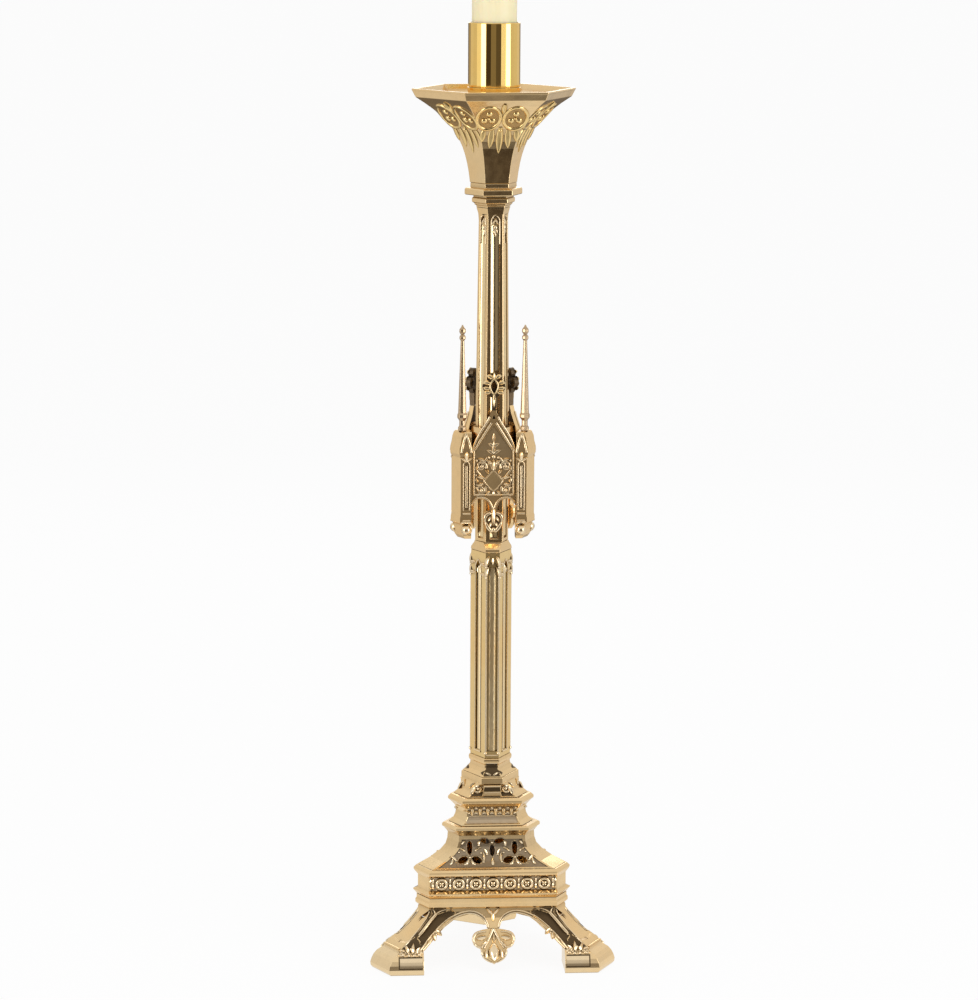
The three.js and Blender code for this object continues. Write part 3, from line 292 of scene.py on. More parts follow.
FINISH = {
    # The finial castings are in the near-black painted shade brass.
    **{f"gable_finial_{side}": shaded for side in SIDE_NAMES},
    **{f"foot_{corner}": footed for corner in CORNER_NAMES},
    "pierced_tier": pierced,
    "lower_shaft": shafted,
    "drip_pan": panned,
    **{f"pinnacle_{corner}": satin for corner in CORNER_NAMES},
    "candle_socket": mirror,
    "socket_ring": mirror,
    **dict.fromkeys(("tie_rod", "rod_washer", "rod_nut"), steel_finish),
    "candle_wax": wax_finish,
    "candle_wick": cotton_finish,
}


# Softened edges on the castings

EDGE_WIDTH = 0.45
EDGE_ANGLE = 28.0


def soften(obj):
    weld = obj.modifiers.new("weld", "WELD")
    weld.merge_threshold = 1e-6
    flat = obj.modifiers.new("flat", "DECIMATE")
    flat.decimate_type = "DISSOLVE"
    flat.angle_limit = radians(0.6)
    bevel = obj.modifiers.new("bevel", "BEVEL")
    bevel.width = EDGE_WIDTH * MM
    bevel.segments = 2
    bevel.limit_method = "ANGLE"
    bevel.angle_limit = radians(EDGE_ANGLE)
    bevel.use_clamp_overlap = True
    bevel.harden_normals = False
    normals = obj.modifiers.new("normals", "WEIGHTED_NORMAL")
    normals.keep_sharp = True
    normals.weight = 80


for name, obj in nodes.items():
    finish = FINISH.get(name, polished)
    for slot in obj.material_slots:
        slot.material = finish
    if name not in ("candle_wick", "tie_rod"):
        soften(obj)


# Lines on a side, as lists of (u, z)

def line(start, end, steps=2):
    (u0, z0), (u1, z1) = start, end
    return [(u0 + (u1 - u0) * i / steps, z0 + (z1 - z0) * i / steps) for i in range(steps + 1)]


def arc(u, z, radius, start, end, steps=12, tall=1.0):
    """Degrees run from the right, turning upward; tall stretches it along z."""
    points = []
    for i in range(steps + 1):
        angle = radians(start + (end - start) * i / steps)
        points.append((u + radius * cos(angle), z + radius * tall * sin(angle)))
    return points


def circle(u, z, radius, steps=20, tall=1.0):
    return arc(u, z, radius, 0.0, 360.0, steps, tall)[:-1]


def spiral(u, z, outer, inner, start, sweep, steps=20):
    points = []
    for i in range(steps + 1):
        share = i / steps
        angle = radians(start + sweep * share)
        radius = outer + (inner - outer) * share
        points.append((u + radius * cos(angle), z + radius * sin(angle)))
    return points


def bezier(a, b, c, d, steps=12):
    points = []
    for i in range(steps + 1):
        t = i / steps
        weights = ((1 - t) ** 3, 3 * t * (1 - t) ** 2, 3 * t * t * (1 - t), t ** 3)
        points.append(tuple(sum(w * p[k] for w, p in zip(weights, (a, b, c, d))) for k in (0, 1)))
    return points


def lancet(half, low, spring):
    """Up one side of a pointed opening, over its point and down the other."""
    rising = line((half, low), (half, spring), 8)[:-1]
    right = arc(-half, spring, 2 * half, 0.0, 60.0, 5)
    left = arc(half, spring, 2 * half, 120.0, 180.0, 5)
    falling = line((-half, spring), (-half, low), 8)
    return rising + right + left[1:] + falling[1:]


def moved(path, across, rise=0.0):
    return [(u + across, z + rise) for u, z in path]


def reach_at(path, z):
    """How far from the middle a line runs at a height."""
    for (u0, z0), (u1, z1) in zip(path, path[1:]):
        if min(z0, z1) <= z <= max(z0, z1) and z0 != z1:
            return u0 + (u1 - u0) * (z - z0) / (z1 - z0)
    return path[0][0] if abs(z - path[0][1]) < abs(z - path[-1][1]) else path[-1][0]


def at_height(width):
    """A number becomes a width that is the same at every height."""
    return width if callable(width) else lambda z: width


# Sizes of a rib by the share of it that has been run

def taper(size, tip=0.35):
    return lambda share: size * (tip + (1 - tip) * sin(pi * share) ** 0.6)


def tail(size, tip=0.3):
    return lambda share: size * (1 - (1 - tip) * share)


# Surfaces that carry ornament

@cache
def tree_of(names):
    """What rays meet on some castings taken together."""
    points, polygons = [], []
    for name in names:
        start = len(points)
        mesh = nodes[name].data
        points.extend(v.co.copy() for v in mesh.vertices)
        polygons.extend([i + start for i in p.vertices] for p in mesh.polygons)
    return BVHTree.FromPolygons(points, polygons)


class Face:
    """One side of some castings: (u, z) gives the place on it, with z counted up from its base."""

    SIGHT = 400.0
    NEAR = 340.0

    def __init__(self, names, turn, base, facing):
        self.tree = tree_of((names,) if isinstance(names, str) else tuple(names))
        self.turn = Matrix.Rotation(radians(turn), 3, "Z")
        self.base = base
        self.facing = facing
        self.half = 1

    def at(self, u, z, last=None, slack=4.0):
        """With a last spot, a point past the casting's edge stays on that spot's plane."""
        outside = Vector((u * self.half, -self.SIGHT * self.facing, self.base + z))
        start = AXIS + self.turn @ outside * MM
        way = self.turn @ Vector((0.0, self.facing, 0.0))
        place, normal, _, _ = self.tree.ray_cast(start, way)
        if last is None:
            if place is None:
                place, normal, _, _ = self.tree.find_nearest(start + way * self.NEAR * MM)
            return place, normal
        plane = last[1] if way.dot(last[1]) < -0.4 else -way
        level = intersect_line_plane(start, start + way, last[0], plane)
        if place is None or (place - level).length > slack * MM:
            return level, last[1]
        return place, normal

    def distance(self, place):
        return (self.turn.transposed() @ (AXIS - place)).y * self.facing / MM

    def axes(self, u, z, last=None, slack=2.5):
        """The place, the directions of u and z along the surface, and the normal."""
        place, normal = self.at(u, z, last, slack)
        across = self.turn @ Vector((self.half, 0.0, 0.0))
        across = (across - normal * across.dot(normal)).normalized()
        rising = (UP - normal * UP.dot(normal)).normalized()
        return place, across, rising, normal


class Relief:
    """Raised ornament on castings, gathered into one mesh of closed forms."""

    SECTION = 8
    SUNK = 0.5
    LEAF_ROWS = 8
    LEAF_SECTION = (
        (-1.0, None), (-0.8, 0.6), (-0.42, 1.0), (0.0, 0.72), (0.42, 1.0), (0.8, 0.6), (1.0, None),
    )
    DOME = (-30.0, 0.0, 28.0, 54.0, 76.0)
    DOME_SIDES = 12
    SHARP = 50.0

    def __init__(self):
        self.mesh = bmesh.new()
        self.face = None

    def halves(self):
        """A loop over this draws on the left half of the side, mirrored, and then on the right half."""
        for half in (-1, 1):
            self.face.half = half
            yield

    def skin(self, rings, closed=False):
        """Joins rings of points into a tube, capped unless it closes on itself."""
        made = [[self.mesh.verts.new(p) for p in ring] for ring in rings]
        pairs = list(zip(made, made[1:]))
        if closed:
            pairs.append((made[-1], made[0]))
        for low, high in pairs:
            for i in range(len(low)):
                j = (i + 1) % len(low)
                self.mesh.faces.new((low[i], low[j], high[j], high[i]))
        if not closed:
            self.mesh.faces.new(made[0][::-1])
            self.mesh.faces.new(made[-1])

    def rib(self, path, radius, rise=1.0, closed=False):
        """A rounded bead along the path; the radius is a number or depends on the share run."""
        spots = []
        for u, z in path:
            spots.append(self.face.at(u, z, spots[-1] if spots else None))
        count = len(spots)
        rings = []
        for i, (place, normal) in enumerate(spots):
            before = spots[i - 1][0] if closed or i > 0 else place
            after = spots[(i + 1) % count][0] if closed or i < count - 1 else place
            along = (after - before).normalized()
            aside = along.cross(normal).normalized()
            out = aside.cross(along)
            size = (radius(i / (count - 1)) if callable(radius) else radius) * MM
            ring = []
            for k in range(self.SECTION):
                angle = radians(-25.0 + 230.0 * k / (self.SECTION - 1))
                ring.append(place + aside * size * cos(angle) + out * size * rise * sin(angle))
            rings.append(ring)
        self.skin(rings, closed)

    def leaf(self, u, z, heading, length, width, rise, bend=0.0):
        """A domed leaf with a sunk vein, its stalk at (u, z), headed at an angle from straight up."""
        rings = []
        last = self.face.at(u, z)
        for i in range(self.LEAF_ROWS + 1):
            share = i / self.LEAF_ROWS
            angle = radians(heading + bend * share)
            if i:
                u += sin(angle) * length / self.LEAF_ROWS
                z += cos(angle) * length / self.LEAF_ROWS
            place, across, rising, out = self.face.axes(u, z, last)
            last = (place, out)
            aside = across * cos(angle) - rising * sin(angle)
            half = 0.5 * width * max(0.08, sin(pi * (0.1 + 0.88 * share) ** 0.9) ** 0.7)
            crest = rise * (0.35 + 0.65 * sin(pi * min(1.0, 0.1 + share * 0.85)))
            ring = []
            for s, lift in self.LEAF_SECTION:
                height = -self.SUNK if lift is None else crest * lift
                ring.append(place + (aside * s * half + out * height) * MM)
            rings.append(ring)
        self.skin(rings)

    def boss(self, u, z, radius, rise=1.0):
        """A low dome with its edge sunk into the casting."""
        place, across, rising, out = self.face.axes(u, z)
        rings = []
        for angle in self.DOME:
            reach = radius * cos(radians(angle))
            height = radius * rise * sin(radians(angle))
            ring = []
            for k in range(self.DOME_SIDES):
                turn = 2 * pi * k / self.DOME_SIDES
                spot = across * reach * cos(turn) + rising * reach * sin(turn) + out * height
                ring.append(place + spot * MM)
            rings.append(ring)
        self.skin(rings)

    def plate(self, outline, height, crown=0.0):
        """A raised flat shape; a crown lifts its middle."""
        base, rim, inner = [], [], []
        centre = [sum(p[k] for p in outline) / len(outline) for k in (0, 1)]
        last = self.face.at(*centre)
        for u, z in outline:
            place, _, _, out = self.face.axes(u, z, last)
            base.append(place - out * self.SUNK * MM)
            rim.append(place + out * height * MM)
            u, z = (centre[0] + (u - centre[0]) * 0.55, centre[1] + (z - centre[1]) * 0.55)
            place, _, _, out = self.face.axes(u, z, last)
            inner.append(place + out * (height + crown) * MM)
        self.skin([base, rim, inner])

    def ground(self, left, right, low, high, cell, tall=None, grain=0.12, crown=0.0, slack=0.5):
        """A skin over a sunk ground, from left to right at each height, rough or crowned.

        The ground of a row lies at its most common depth, and what is further from it than the
        slack is left out.
        """
        left, right = at_height(left), at_height(right)
        lift = 0.25 if slack > 1 and grain > 0 else 0.1
        rows = max(1, round((high - low) / (tall or cell)))
        middle = (low + high) / 2
        columns = max(2, round((right(middle) - left(middle)) / cell))
        grid = []
        for j in range(rows + 1):
            z = low + (high - low) * j / rows
            row = []
            for i in range(columns + 1):
                place, normal = self.face.at(left(z) + (right(z) - left(z)) * i / columns, z)
                row.append((self.face.distance(place), place, normal))
            depths = [d for d, _, _ in row]
            level = max(depths, key=lambda depth: sum(abs(depth - d) < slack for d in depths))
            kept = []
            for i, (depth, place, normal) in enumerate(row):
                if abs(depth - level) > slack:
                    kept.append(None)
                    continue
                swell = (2 * i / columns - 1) ** 2
                rise = lift + noise.noise(place * 900.0) * grain
                rise += crown * (1 - swell) if crown > 0 else -crown * swell
                kept.append((self.mesh.verts.new(place + normal * rise * MM), place - normal * 0.3 * MM))
            grid.append(kept)
        self.close_skin(grid)

    def close_skin(self, grid):
        """Faces over a grid of (top vertex, point below) cells, closed by a bottom and walls."""
        top_faces = []
        for lower, upper in zip(grid, grid[1:]):
            for corners in zip(lower, lower[1:], upper[1:], upper):
                if all(corners):
                    top_faces.append([v for v, _ in corners])
        edges = {(a, b): True for quad in top_faces for a, b in zip(quad, quad[1:] + quad[:1])}
        below = {cell[0]: self.mesh.verts.new(cell[1]) for row in grid for cell in row if cell}
        for quad in top_faces:
            self.mesh.faces.new(quad)
            self.mesh.faces.new([below[v] for v in reversed(quad)])
        for a, b in edges:
            if (b, a) not in edges:
                self.mesh.faces.new((b, a, below[a], below[b]))
        loose = [v for pair in below.items() for v in pair if not v.link_faces]
        bmesh.ops.delete(self.mesh, geom=loose, context="VERTS")

    def field(self, half, *sizes, **finish):
        """A ground that is as wide on the left as on the right."""
        half = at_height(half)
        self.ground(lambda z: -half(z), half, *sizes, **finish)

    def finish(self, name, material):
        """Makes an object of what was drawn, on the stand."""
        bmesh.ops.recalc_face_normals(self.mesh, faces=self.mesh.faces)
        mesh = bpy.data.meshes.new(name)
        self.mesh.to_mesh(mesh)
        self.mesh.free()
        for polygon in mesh.polygons:
            polygon.use_smooth = True
        mesh.set_sharp_from_angle(angle=radians(self.SHARP))
        mesh.materials.append(material)
        obj = add_object(name, mesh)
        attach(obj, "stand")


def piece(name, material, castings, base=0.0, turns=SIDES, facing=1):
    """Makes one piece of what the function below it draws, the same on every side named by its turn."""
    def dress(draw):
        relief = Relief()
        for i, turn in enumerate(turns):
            names = castings if isinstance(castings, str) else castings[i]
            relief.face = Face(names, turn, base, facing)
            draw(relief)
        relief.finish(name, material)
        return draw
    return dress


# Frieze of rings on the band, measured from the middle of the rings

RING_COUNT = 7
RING_PITCH = 20.5
FRIEZE_HALF = 74.0
frieze_middle = foot_of("ring_frieze_band") + 17.0


@piece("frieze_ornament", chased, "ring_frieze_band", frieze_middle)
def draw_frieze(relief):
    for i in range(RING_COUNT):
        u = (i - (RING_COUNT - 1) / 2) * RING_PITCH
        relief.rib(circle(u, 0.0, 5.9), 1.6, closed=True)
        for k in range(4):
            relief.leaf(u, 0.0, 45.0 + 90.0 * k, 4.6, 3.8, 1.9)
        relief.boss(u, 0.0, 1.4, 1.7)
    for i in range(RING_COUNT + 1):
        u = (i - RING_COUNT / 2) * RING_PITCH
        for heading in (0.0, 180.0):
            relief.leaf(u, 0.0, heading, 7.0, 4.8, 2.0)
        relief.boss(u, 0.0, 1.3, 1.7)
    for z in (-7.6, 7.6):
        relief.rib(line((-FRIEZE_HALF, z), (FRIEZE_HALF, z)), 0.7)
    for _ in relief.halves():
        relief.rib(arc(78.5, 0.0, 5.8, 125.0, 235.0, 8), 1.5)


@piece("frieze_ground", frosted, "ring_frieze_band", frieze_middle)
def draw_frieze_ground(relief):
    relief.field(FRIEZE_HALF, -7.4, 7.4, 1.5)


# Pierced tier: rims round its openings, leaves and bosses between them

pierced_foot = foot_of("pierced_tier")
PIERCED_FLARE = 27.5
PETAL_LENGTH = 13.6
TALL_PETAL = 16.8
PETAL_WIDTH = 6.8
PETAL_HUB = 1.8
TREFOILS = (
    (-27.0, 10.2, (0, 104, -104)),
    (0.0, 26.0, (180, 76, -76)),
    (27.0, 10.2, (0, 104, -104)),
)
PIERCED_LEAVES = (
    (20.0, 17.0, -30.0, 8.5, -70.0), (33.5, 17.0, 30.0, 7.0, 70.0),
    (44.0, 7.5, 25.0, 9.0, 70.0), (11.0, 6.0, -30.0, 10.0, 60.0),
    (36.0, 25.0, -20.0, 5.5, -60.0), (6.5, 13.0, 0.0, 7.0, 60.0),
    (16.0, 23.0, 10.0, 6.5, -60.0), (50.5, 4.5, -60.0, 7.0, 60.0),
    (33.0, 4.0, -70.0, 8.0, 40.0), (21.5, 4.0, 70.0, 6.0, -40.0),
)


def pierced_half(z):
    """Half the width of the sunk ground at a height."""
    return 36.3 + 32.5 * max(0.0, 1 - z / PIERCED_FLARE) ** 2


def petal(u, z, heading, grow):
    """The edge of an opening, a little outside it."""
    length = TALL_PETAL if heading == 0 else PETAL_LENGTH
    bulge = PETAL_WIDTH / 1.5 + grow
    low, high = -grow, length + grow
    bend = length * 0.12
    half = bezier((0.0, low), (bulge, low + bend), (bulge, high - bend), (0.0, high), 9)
    outline = half[:-1] + [(-across, run) for across, run in reversed(half)][:-1]
    angle = radians(heading)
    ahead, aside = sin(angle), cos(angle)
    return [(u + ahead * (run + PETAL_HUB) + aside * across, z + aside * (run + PETAL_HUB) - ahead * across)
            for across, run in outline]


@piece("pierced_tracery", chased, "pierced_tier", pierced_foot)
def draw_pierced(relief):
    for u, z, _ in TREFOILS:
        relief.boss(u, z, 1.6, 1.1)
    relief.leaf(0.0, 3.0, 0.0, 7.0, 4.6, 1.6)
    for _ in relief.halves():
        for u, z, heading, length, bend in PIERCED_LEAVES:
            relief.leaf(u, z, heading, length, 4.0, 1.7, bend)
            relief.boss(u, z, 1.5, 1.0)
        for u, z in ((13.5, 14.5), (40.0, 15.5)):
            relief.boss(u, z, 1.5, 1.1)


@piece("pierced_ground", matted, "pierced_tier", pierced_foot)
def draw_pierced_ground(relief):
    relief.field(pierced_half, 0.4, PIERCED_FLARE + 2.6, 1.3)
    # The rims round the openings are in the dark ground brass: painted shade along the openings' edges.
    for u, z, headings in TREFOILS:
        for heading in headings:
            relief.rib(petal(u, z, heading, 0.7), 0.5, 0.9, closed=True)


# Leafed tier: a strip of small leaves

leafed_foot = foot_of("leafed_tier")
LEAFED_HALF = 27.6
STRIP_COUNT = 6
STRIP_FOOT = 11.0


def leafed_half(z):
    return LEAFED_HALF + max(0.0, 14.0 - z) ** 1.5 * 0.09


@piece("leaf_strip", chased, "leafed_tier", leafed_foot)
def draw_leaf_strip(relief):
    pitch = 2 * (LEAFED_HALF - 4.0) / (STRIP_COUNT - 1)
    for i in range(STRIP_COUNT):
        u = (i - (STRIP_COUNT - 1) / 2) * pitch
        relief.leaf(u, STRIP_FOOT, 0.0, 12.0, 5.4, 3.0)
        for side in (-1, 1):
            relief.leaf(u + side * 0.8, STRIP_FOOT + 0.6, side * 26.0, 9.5, 4.0, 2.4, side * 62.0)
        relief.boss(u + pitch / 2, STRIP_FOOT + 9.6, 1.5, 1.2)
    relief.rib(line((-LEAFED_HALF, STRIP_FOOT - 1.0), (LEAFED_HALF, STRIP_FOOT - 1.0)), 0.9)


@piece("leafed_ground", frosted, "leafed_tier", leafed_foot)
def draw_leafed_ground(relief):
    relief.field(leafed_half, 2.0, 22.4, 1.4)


# Plinth of the shaft: a volute on each side of the block

plinth_foot = foot_of("shaft_plinth")


def plinth_half(z):
    return 20.2 + max(0.0, 13.0 - z) * 0.55


@piece("plinth_volutes", chased, "shaft_plinth", plinth_foot)
def draw_volutes(relief):
    relief.rib(line((-10.0, 13.6), (10.0, 13.6)), 0.8)
    relief.rib(line((-9.0, 6.0), (9.0, 6.0)), 0.7)
    for _ in relief.halves():
        relief.rib(spiral(16.6, 9.0, 7.2, 2.0, 220.0, -520.0, 28), tail(2.3, 0.6), 1.1)
        relief.boss(16.6, 9.0, 2.8, 1.2)
        relief.leaf(24.5, 3.0, -12.0, 15.0, 5.6, 2.2, -50.0)
        relief.leaf(20.0, 15.0, 120.0, 9.0, 4.2, 1.8, 30.0)


@piece("plinth_ground", dim, "shaft_plinth", plinth_foot)
def draw_plinth_ground(relief):
    relief.field(plinth_half, 1.2, 12.6, 1.3)


# Skirt at the foot of the shaft: a painted shadow shaped like a scoop, with two small leaves

skirt_foot = foot_of("shaft_foot")
SKIRT_SHADOW = ((9.5, 0.6), (13.2, 3.0), (10.6, 5.2), (7.0, 7.4), (6.2, 14.6))


@piece("skirt_ornament", chased, "shaft_foot", skirt_foot)
def draw_skirt(relief):
    relief.rib(line((-6.4, 15.2), (6.4, 15.2)), 0.8)
    for _ in relief.halves():
        relief.leaf(1.2, 1.6, 58.0, 8.0, 3.0, 1.2, 20.0)


# Painted shadow: a near-black patch on the front of the skirt, below the roll.
@piece("skirt_shadow", dim, "shaft_foot", skirt_foot)
def draw_skirt_shadow(relief):
    relief.field(lambda z: reach_at(SKIRT_SHADOW, z), 0.8, 14.4, 1.1, slack=60.0)


# Arcade: lines round the arches, crockets and leaves on the ankles, with z from the floor

leg_foot = foot_of("leg_arcade")
ARCH_FOOT = 84.0
ARCH_CROWN = 28.0
ARCH_CROWN_HEIGHT = 63.5
STEM_HALF = 7.5
STEM_DROP = 48.5
LEG_FLARE = 43.0
LEG_STEPS = 4
ANKLE = 76.0
ANKLE_REACH = 38.5
EDGE_INSET = 1.8
ANKLE_LEAVES = ((68.5, 46.0, -112.0, 8.5), (72.0, 42.5, -150.0, 7.0))


def arch_line(rim):
    foot = ARCH_FOOT + rim
    crown = ARCH_CROWN_HEIGHT + rim
    stem = STEM_HALF - rim / 2
    rising = bezier((foot, leg_foot + 0.5), (foot - 16, leg_foot + 12 + rim), (ARCH_CROWN + 22, crown),
                    (ARCH_CROWN, crown), 18)
    falling = bezier((ARCH_CROWN, crown), (ARCH_CROWN - 10, crown), (stem + 2, STEM_DROP + 9 + rim),
                     (stem, STEM_DROP + 1.0), 10)
    return rising + falling[1:]


def leg_inner(z):
    return reach_at(arch_line(4.8), z)


def leg_outer(z):
    """Just inside the edge between a side of the leg and its corner, which is drawn in straight steps."""
    run = LEG_STEPS * min(1.0, max(0.0, (z - leg_foot) / LEG_FLARE))
    step = min(int(run), LEG_STEPS - 1)
    low, high = ((1 - k / LEG_STEPS) ** 1.5 for k in (step, step + 1))
    return ANKLE + ANKLE_REACH * (low + (high - low) * (run - step)) - EDGE_INSET


@piece("arcade_ornament", chased, "leg_arcade")
def draw_arcade(relief):
    relief.leaf(0.0, 64.5, 180.0, 9.0, 4.4, 1.9)
    for _ in relief.halves():
        relief.rib(arch_line(1.1), 1.0)
        relief.rib(arch_line(4.2), 0.9)
        relief.rib(line((67.6, 65.0), (89.0, 41.5), 6), 2.0, 1.2)
        edge = [leg_foot + 4.0 + 2.0 * i for i in range(19)]
        relief.rib([(leg_outer(z) + 0.1, z) for z in edge], 0.8, 0.9)
        relief.rib(bezier((69.0, 63.5), (66.0, 67.0), (62.0, 68.5), (56.0, 69.5), 6), tail(1.2, 0.4), 1.1)
        relief.rib(bezier((69.0, 63.5), (69.0, 66.0), (70.0, 68.0), (72.0, 70.0), 5), tail(1.2, 0.4), 1.1)
        relief.boss(89.6, 40.8, 2.0, 1.0)
        relief.boss(69.0, 45.0, 2.2, 1.0)
        for u, z, heading, length in ANKLE_LEAVES:
            relief.leaf(u, z, heading, length, 5.6, 2.6, -25.0)
        relief.leaf(0.0, 62.5, 42.0, 12.0, 4.4, 1.9, 10.0)


# Painted shade: near-black brass laid over the front of each leg, from the arch to the leg's edge.
@piece("leg_shade", dim, "leg_arcade")
def draw_leg_shade(relief):
    low = leg_foot + 0.8
    high = leg_foot + LEG_FLARE - 3.5
    for _ in relief.halves():
        relief.ground(leg_inner, leg_outer, low, high, 1.4, slack=60.0)
        relief.ground(56.0, leg_outer, high - 0.2, high + 3.2, 1.4, slack=60.0)


@piece("ankle_collars", polished, "leg_arcade", turns=BROAD_SIDES)
def draw_ankle(relief):
    relief.rib(line((-16.0, leg_foot + 1.6), (16.0, leg_foot + 1.6), 4), 1.5, 0.8)


# Feet: a fan of leaves over a band of painted highlight in light brass, edged by lines of painted shade in
# near-black brass, with z from the floor

FOOT_NODES = ("leg_arcade",) + tuple(f"foot_{corner}" for corner in CORNER_NAMES)
FAN_MIDDLE = 99.0
FAN_LEAVES = (
    (-7.0, -62.0, 7.5, -30.0), (-4.5, -34.0, 9.5, -20.0), (-1.5, -8.0, 11.0, 0.0),
    (2.5, 16.0, 10.5, 20.0), (6.0, 46.0, 9.0, 30.0), (9.0, 78.0, 6.5, 30.0),
)
FAN_BEADS = ((-9.5, -4.0), (-3.5, -4.6), (3.0, -4.6), (9.5, -4.0), (0.0, 1.5))
FOOT_HIGHLIGHT = (86.0, 112.6, 9.4, 20.2)
FOOT_SHADE_LINES = ((85.8, 114.2, 7.9, 9.3), (85.8, 114.2, 20.3, 21.6), (112.8, 114.2, 9.4, 20.2))


@piece("foot_leaves", chased, [FOOT_NODES] * 3)
def draw_foot(relief):
    for _ in relief.halves():
        for u, heading, length, bend in FAN_LEAVES:
            relief.leaf(FAN_MIDDLE + u, leg_foot - 3.6, heading, length, 6.0, 2.4, bend)
        for u, rise in FAN_BEADS:
            relief.boss(FAN_MIDDLE + u, leg_foot + rise, 2.1, 1.0)


# Painted highlight: a flat skin of light brass on each foot's face.
@piece("foot_highlights", chased, [FOOT_NODES] * 3)
def draw_foot_highlight(relief):
    for _ in relief.halves():
        relief.ground(*FOOT_HIGHLIGHT, 1.6, 1.2, 0.0)


# Painted shade: strips of near-black brass round that band.
@piece("foot_shade_lines", dim, [FOOT_NODES] * 3)
def draw_foot_shade_lines(relief):
    for _ in relief.halves():
        for strip in FOOT_SHADE_LINES:
            relief.ground(*strip, 1.0, 0.7, 0.0)


# Pendant leaves, measured from their tops

pendant_top = top_of("pendant_leaf_front")
PENDANT_NODES = [f"pendant_leaf_{side}" for side in SIDE_NAMES]
PENDANT_STEMS = (
    (bezier((9.0, -3.6), (20.0, -1.5), (27.5, -8.0), (22.5, -15.5)), taper(1.9, 0.5)),
    (bezier((22.5, -15.5), (21.0, -19.0), (17.0, -20.5), (13.0, -19.0)), taper(1.6, 0.5)),
    (bezier((0.8, -1.0), (4.0, -8.0), (8.0, -15.0), (12.0, -21.0)), tail(2.3, 0.5)),
    (bezier((14.5, -22.0), (15.5, -28.0), (10.0, -33.0), (3.0, -36.0)), taper(1.7, 0.5)),
)


@piece("pendant_carving", chased, PENDANT_NODES, pendant_top)
def draw_pendant(relief):
    relief.leaf(0.0, -17.5, 180.0, 17.0, 14.5, 4.4)
    relief.leaf(0.0, -5.5, 180.0, 12.0, 4.6, 2.6)
    relief.boss(0.0, -17.0, 2.6, 1.1)
    for _ in relief.halves():
        for stem, size in PENDANT_STEMS:
            relief.rib(stem, size, 1.2)
        relief.leaf(9.5, -9.0, 96.0, 11.5, 7.5, 2.4, 10.0)
        relief.leaf(8.0, -14.0, 122.0, 9.0, 5.0, 2.0, 10.0)
        relief.leaf(8.5, -22.5, 165.0, 10.0, 5.5, 2.4, 20.0)


# Lower shaft: beads beside the sunk panels, leaves at their heads, rough grounds

lower_foot = foot_of("lower_shaft")
lower_length = top_of("lower_shaft") - lower_foot
lower_spring = lower_length - 20.0
SPRING_LEAVES = (
    (-9.0, 6.0, 14.0, -36.0), (3.0, 8.0, 15.0, -44.0), (4.0, 40.0, 7.0, 60.0), (-8.0, 40.0, 6.5, 60.0),
)


@piece("lower_narrow_beads", chased, "lower_shaft", lower_foot)
def draw_narrow_panel(relief):
    relief.leaf(0.0, lower_length - 6.0, 180.0, 9.0, 4.4, 2.0)
    relief.rib(line((-7.8, 3.4), (7.8, 3.4)), 0.9)
    for _ in relief.halves():
        relief.rib(line((7.3, 5.0), (7.3, lower_spring - 6.0), 8), 1.1)
        relief.boss(7.8, 6.0, 2.1, 1.0)
        relief.boss(7.9, lower_spring - 9.5, 2.0, 1.1)
        relief.boss(7.7, lower_spring + 3.0, 1.9, 1.1)
        for rise, heading, length, bend in SPRING_LEAVES:
            relief.leaf(7.6, lower_spring + rise, heading, length, 5.0, 2.4, bend)


@piece("lower_broad_beads", chased, "lower_shaft", lower_foot, BROAD_SIDES)
def draw_broad_panel(relief):
    relief.rib(lancet(5.9, 7.0, lower_spring), 0.8)
    relief.rib(line((-6.8, 6.2), (6.8, 6.2)), 1.0)
    relief.leaf(0.0, lower_spring - 7.0, 0.0, 11.0, 4.6, 2.0)
    relief.boss(0.0, lower_spring - 8.5, 1.6, 1.2)
    for _ in relief.halves():
        relief.leaf(0.8, lower_spring - 8.0, 38.0, 9.0, 4.2, 1.8, -30.0)


@piece("lower_narrow_ground", speckled, "lower_shaft", lower_foot)
def draw_narrow_ground(relief):
    relief.field(3.9, 8.4, lower_spring + 2.0, 1.1, 1.4, 0.3, crown=1.0)


@piece("lower_broad_ground", bright, "lower_shaft", lower_foot, BROAD_SIDES)
def draw_broad_ground(relief):
    relief.field(4.9, 8.4, lower_spring, 0.8, 6.0, 0.0, crown=2.3)


# Shoulder between the shafts: three leaves over each narrow panel

@piece("shoulder_leaves", chased, "shaft_shoulder", foot_of("shaft_shoulder"))
def draw_shoulder(relief):
    relief.leaf(0.0, 0.8, 0.0, 10.0, 7.0, 2.0)
    for _ in relief.halves():
        relief.leaf(3.0, 0.8, 24.0, 8.0, 5.0, 1.7, 30.0)


# Upper shaft: scooped grounds below and above the knop, and the head of each panel

upper_foot = foot_of("upper_shaft")
upper_spring = top_of("upper_shaft") - upper_foot - 16.0


@piece("upper_panel_heads", chased, "upper_shaft", upper_foot, HEX_SIDES)
def draw_upper_head(relief):
    relief.rib(lancet(5.0, upper_spring - 26.0, upper_spring - 0.5), 0.7)
    relief.boss(0.0, upper_spring - 7.0, 3.0, 0.9)
    relief.leaf(0.0, upper_spring - 10.0, 180.0, 8.0, 3.6, 1.4)
    for _ in relief.halves():
        relief.leaf(4.6, upper_spring - 5.0, -20.0, 11.5, 4.0, 1.8, -30.0)
        relief.leaf(1.0, upper_spring - 9.0, 150.0, 6.0, 3.0, 1.4, 30.0)


@piece("upper_scoops", bright, "upper_shaft", upper_foot, HEX_SIDES)
def draw_upper_ground(relief):
    for low, high in ((6.0, 51.0), (137.0, upper_spring - 2.0)):
        relief.field(4.5, low, high, 0.75, 5.0, 0.0, crown=-0.9)


# Panels of the knop: a leaf pattern round a lozenge, under a gable

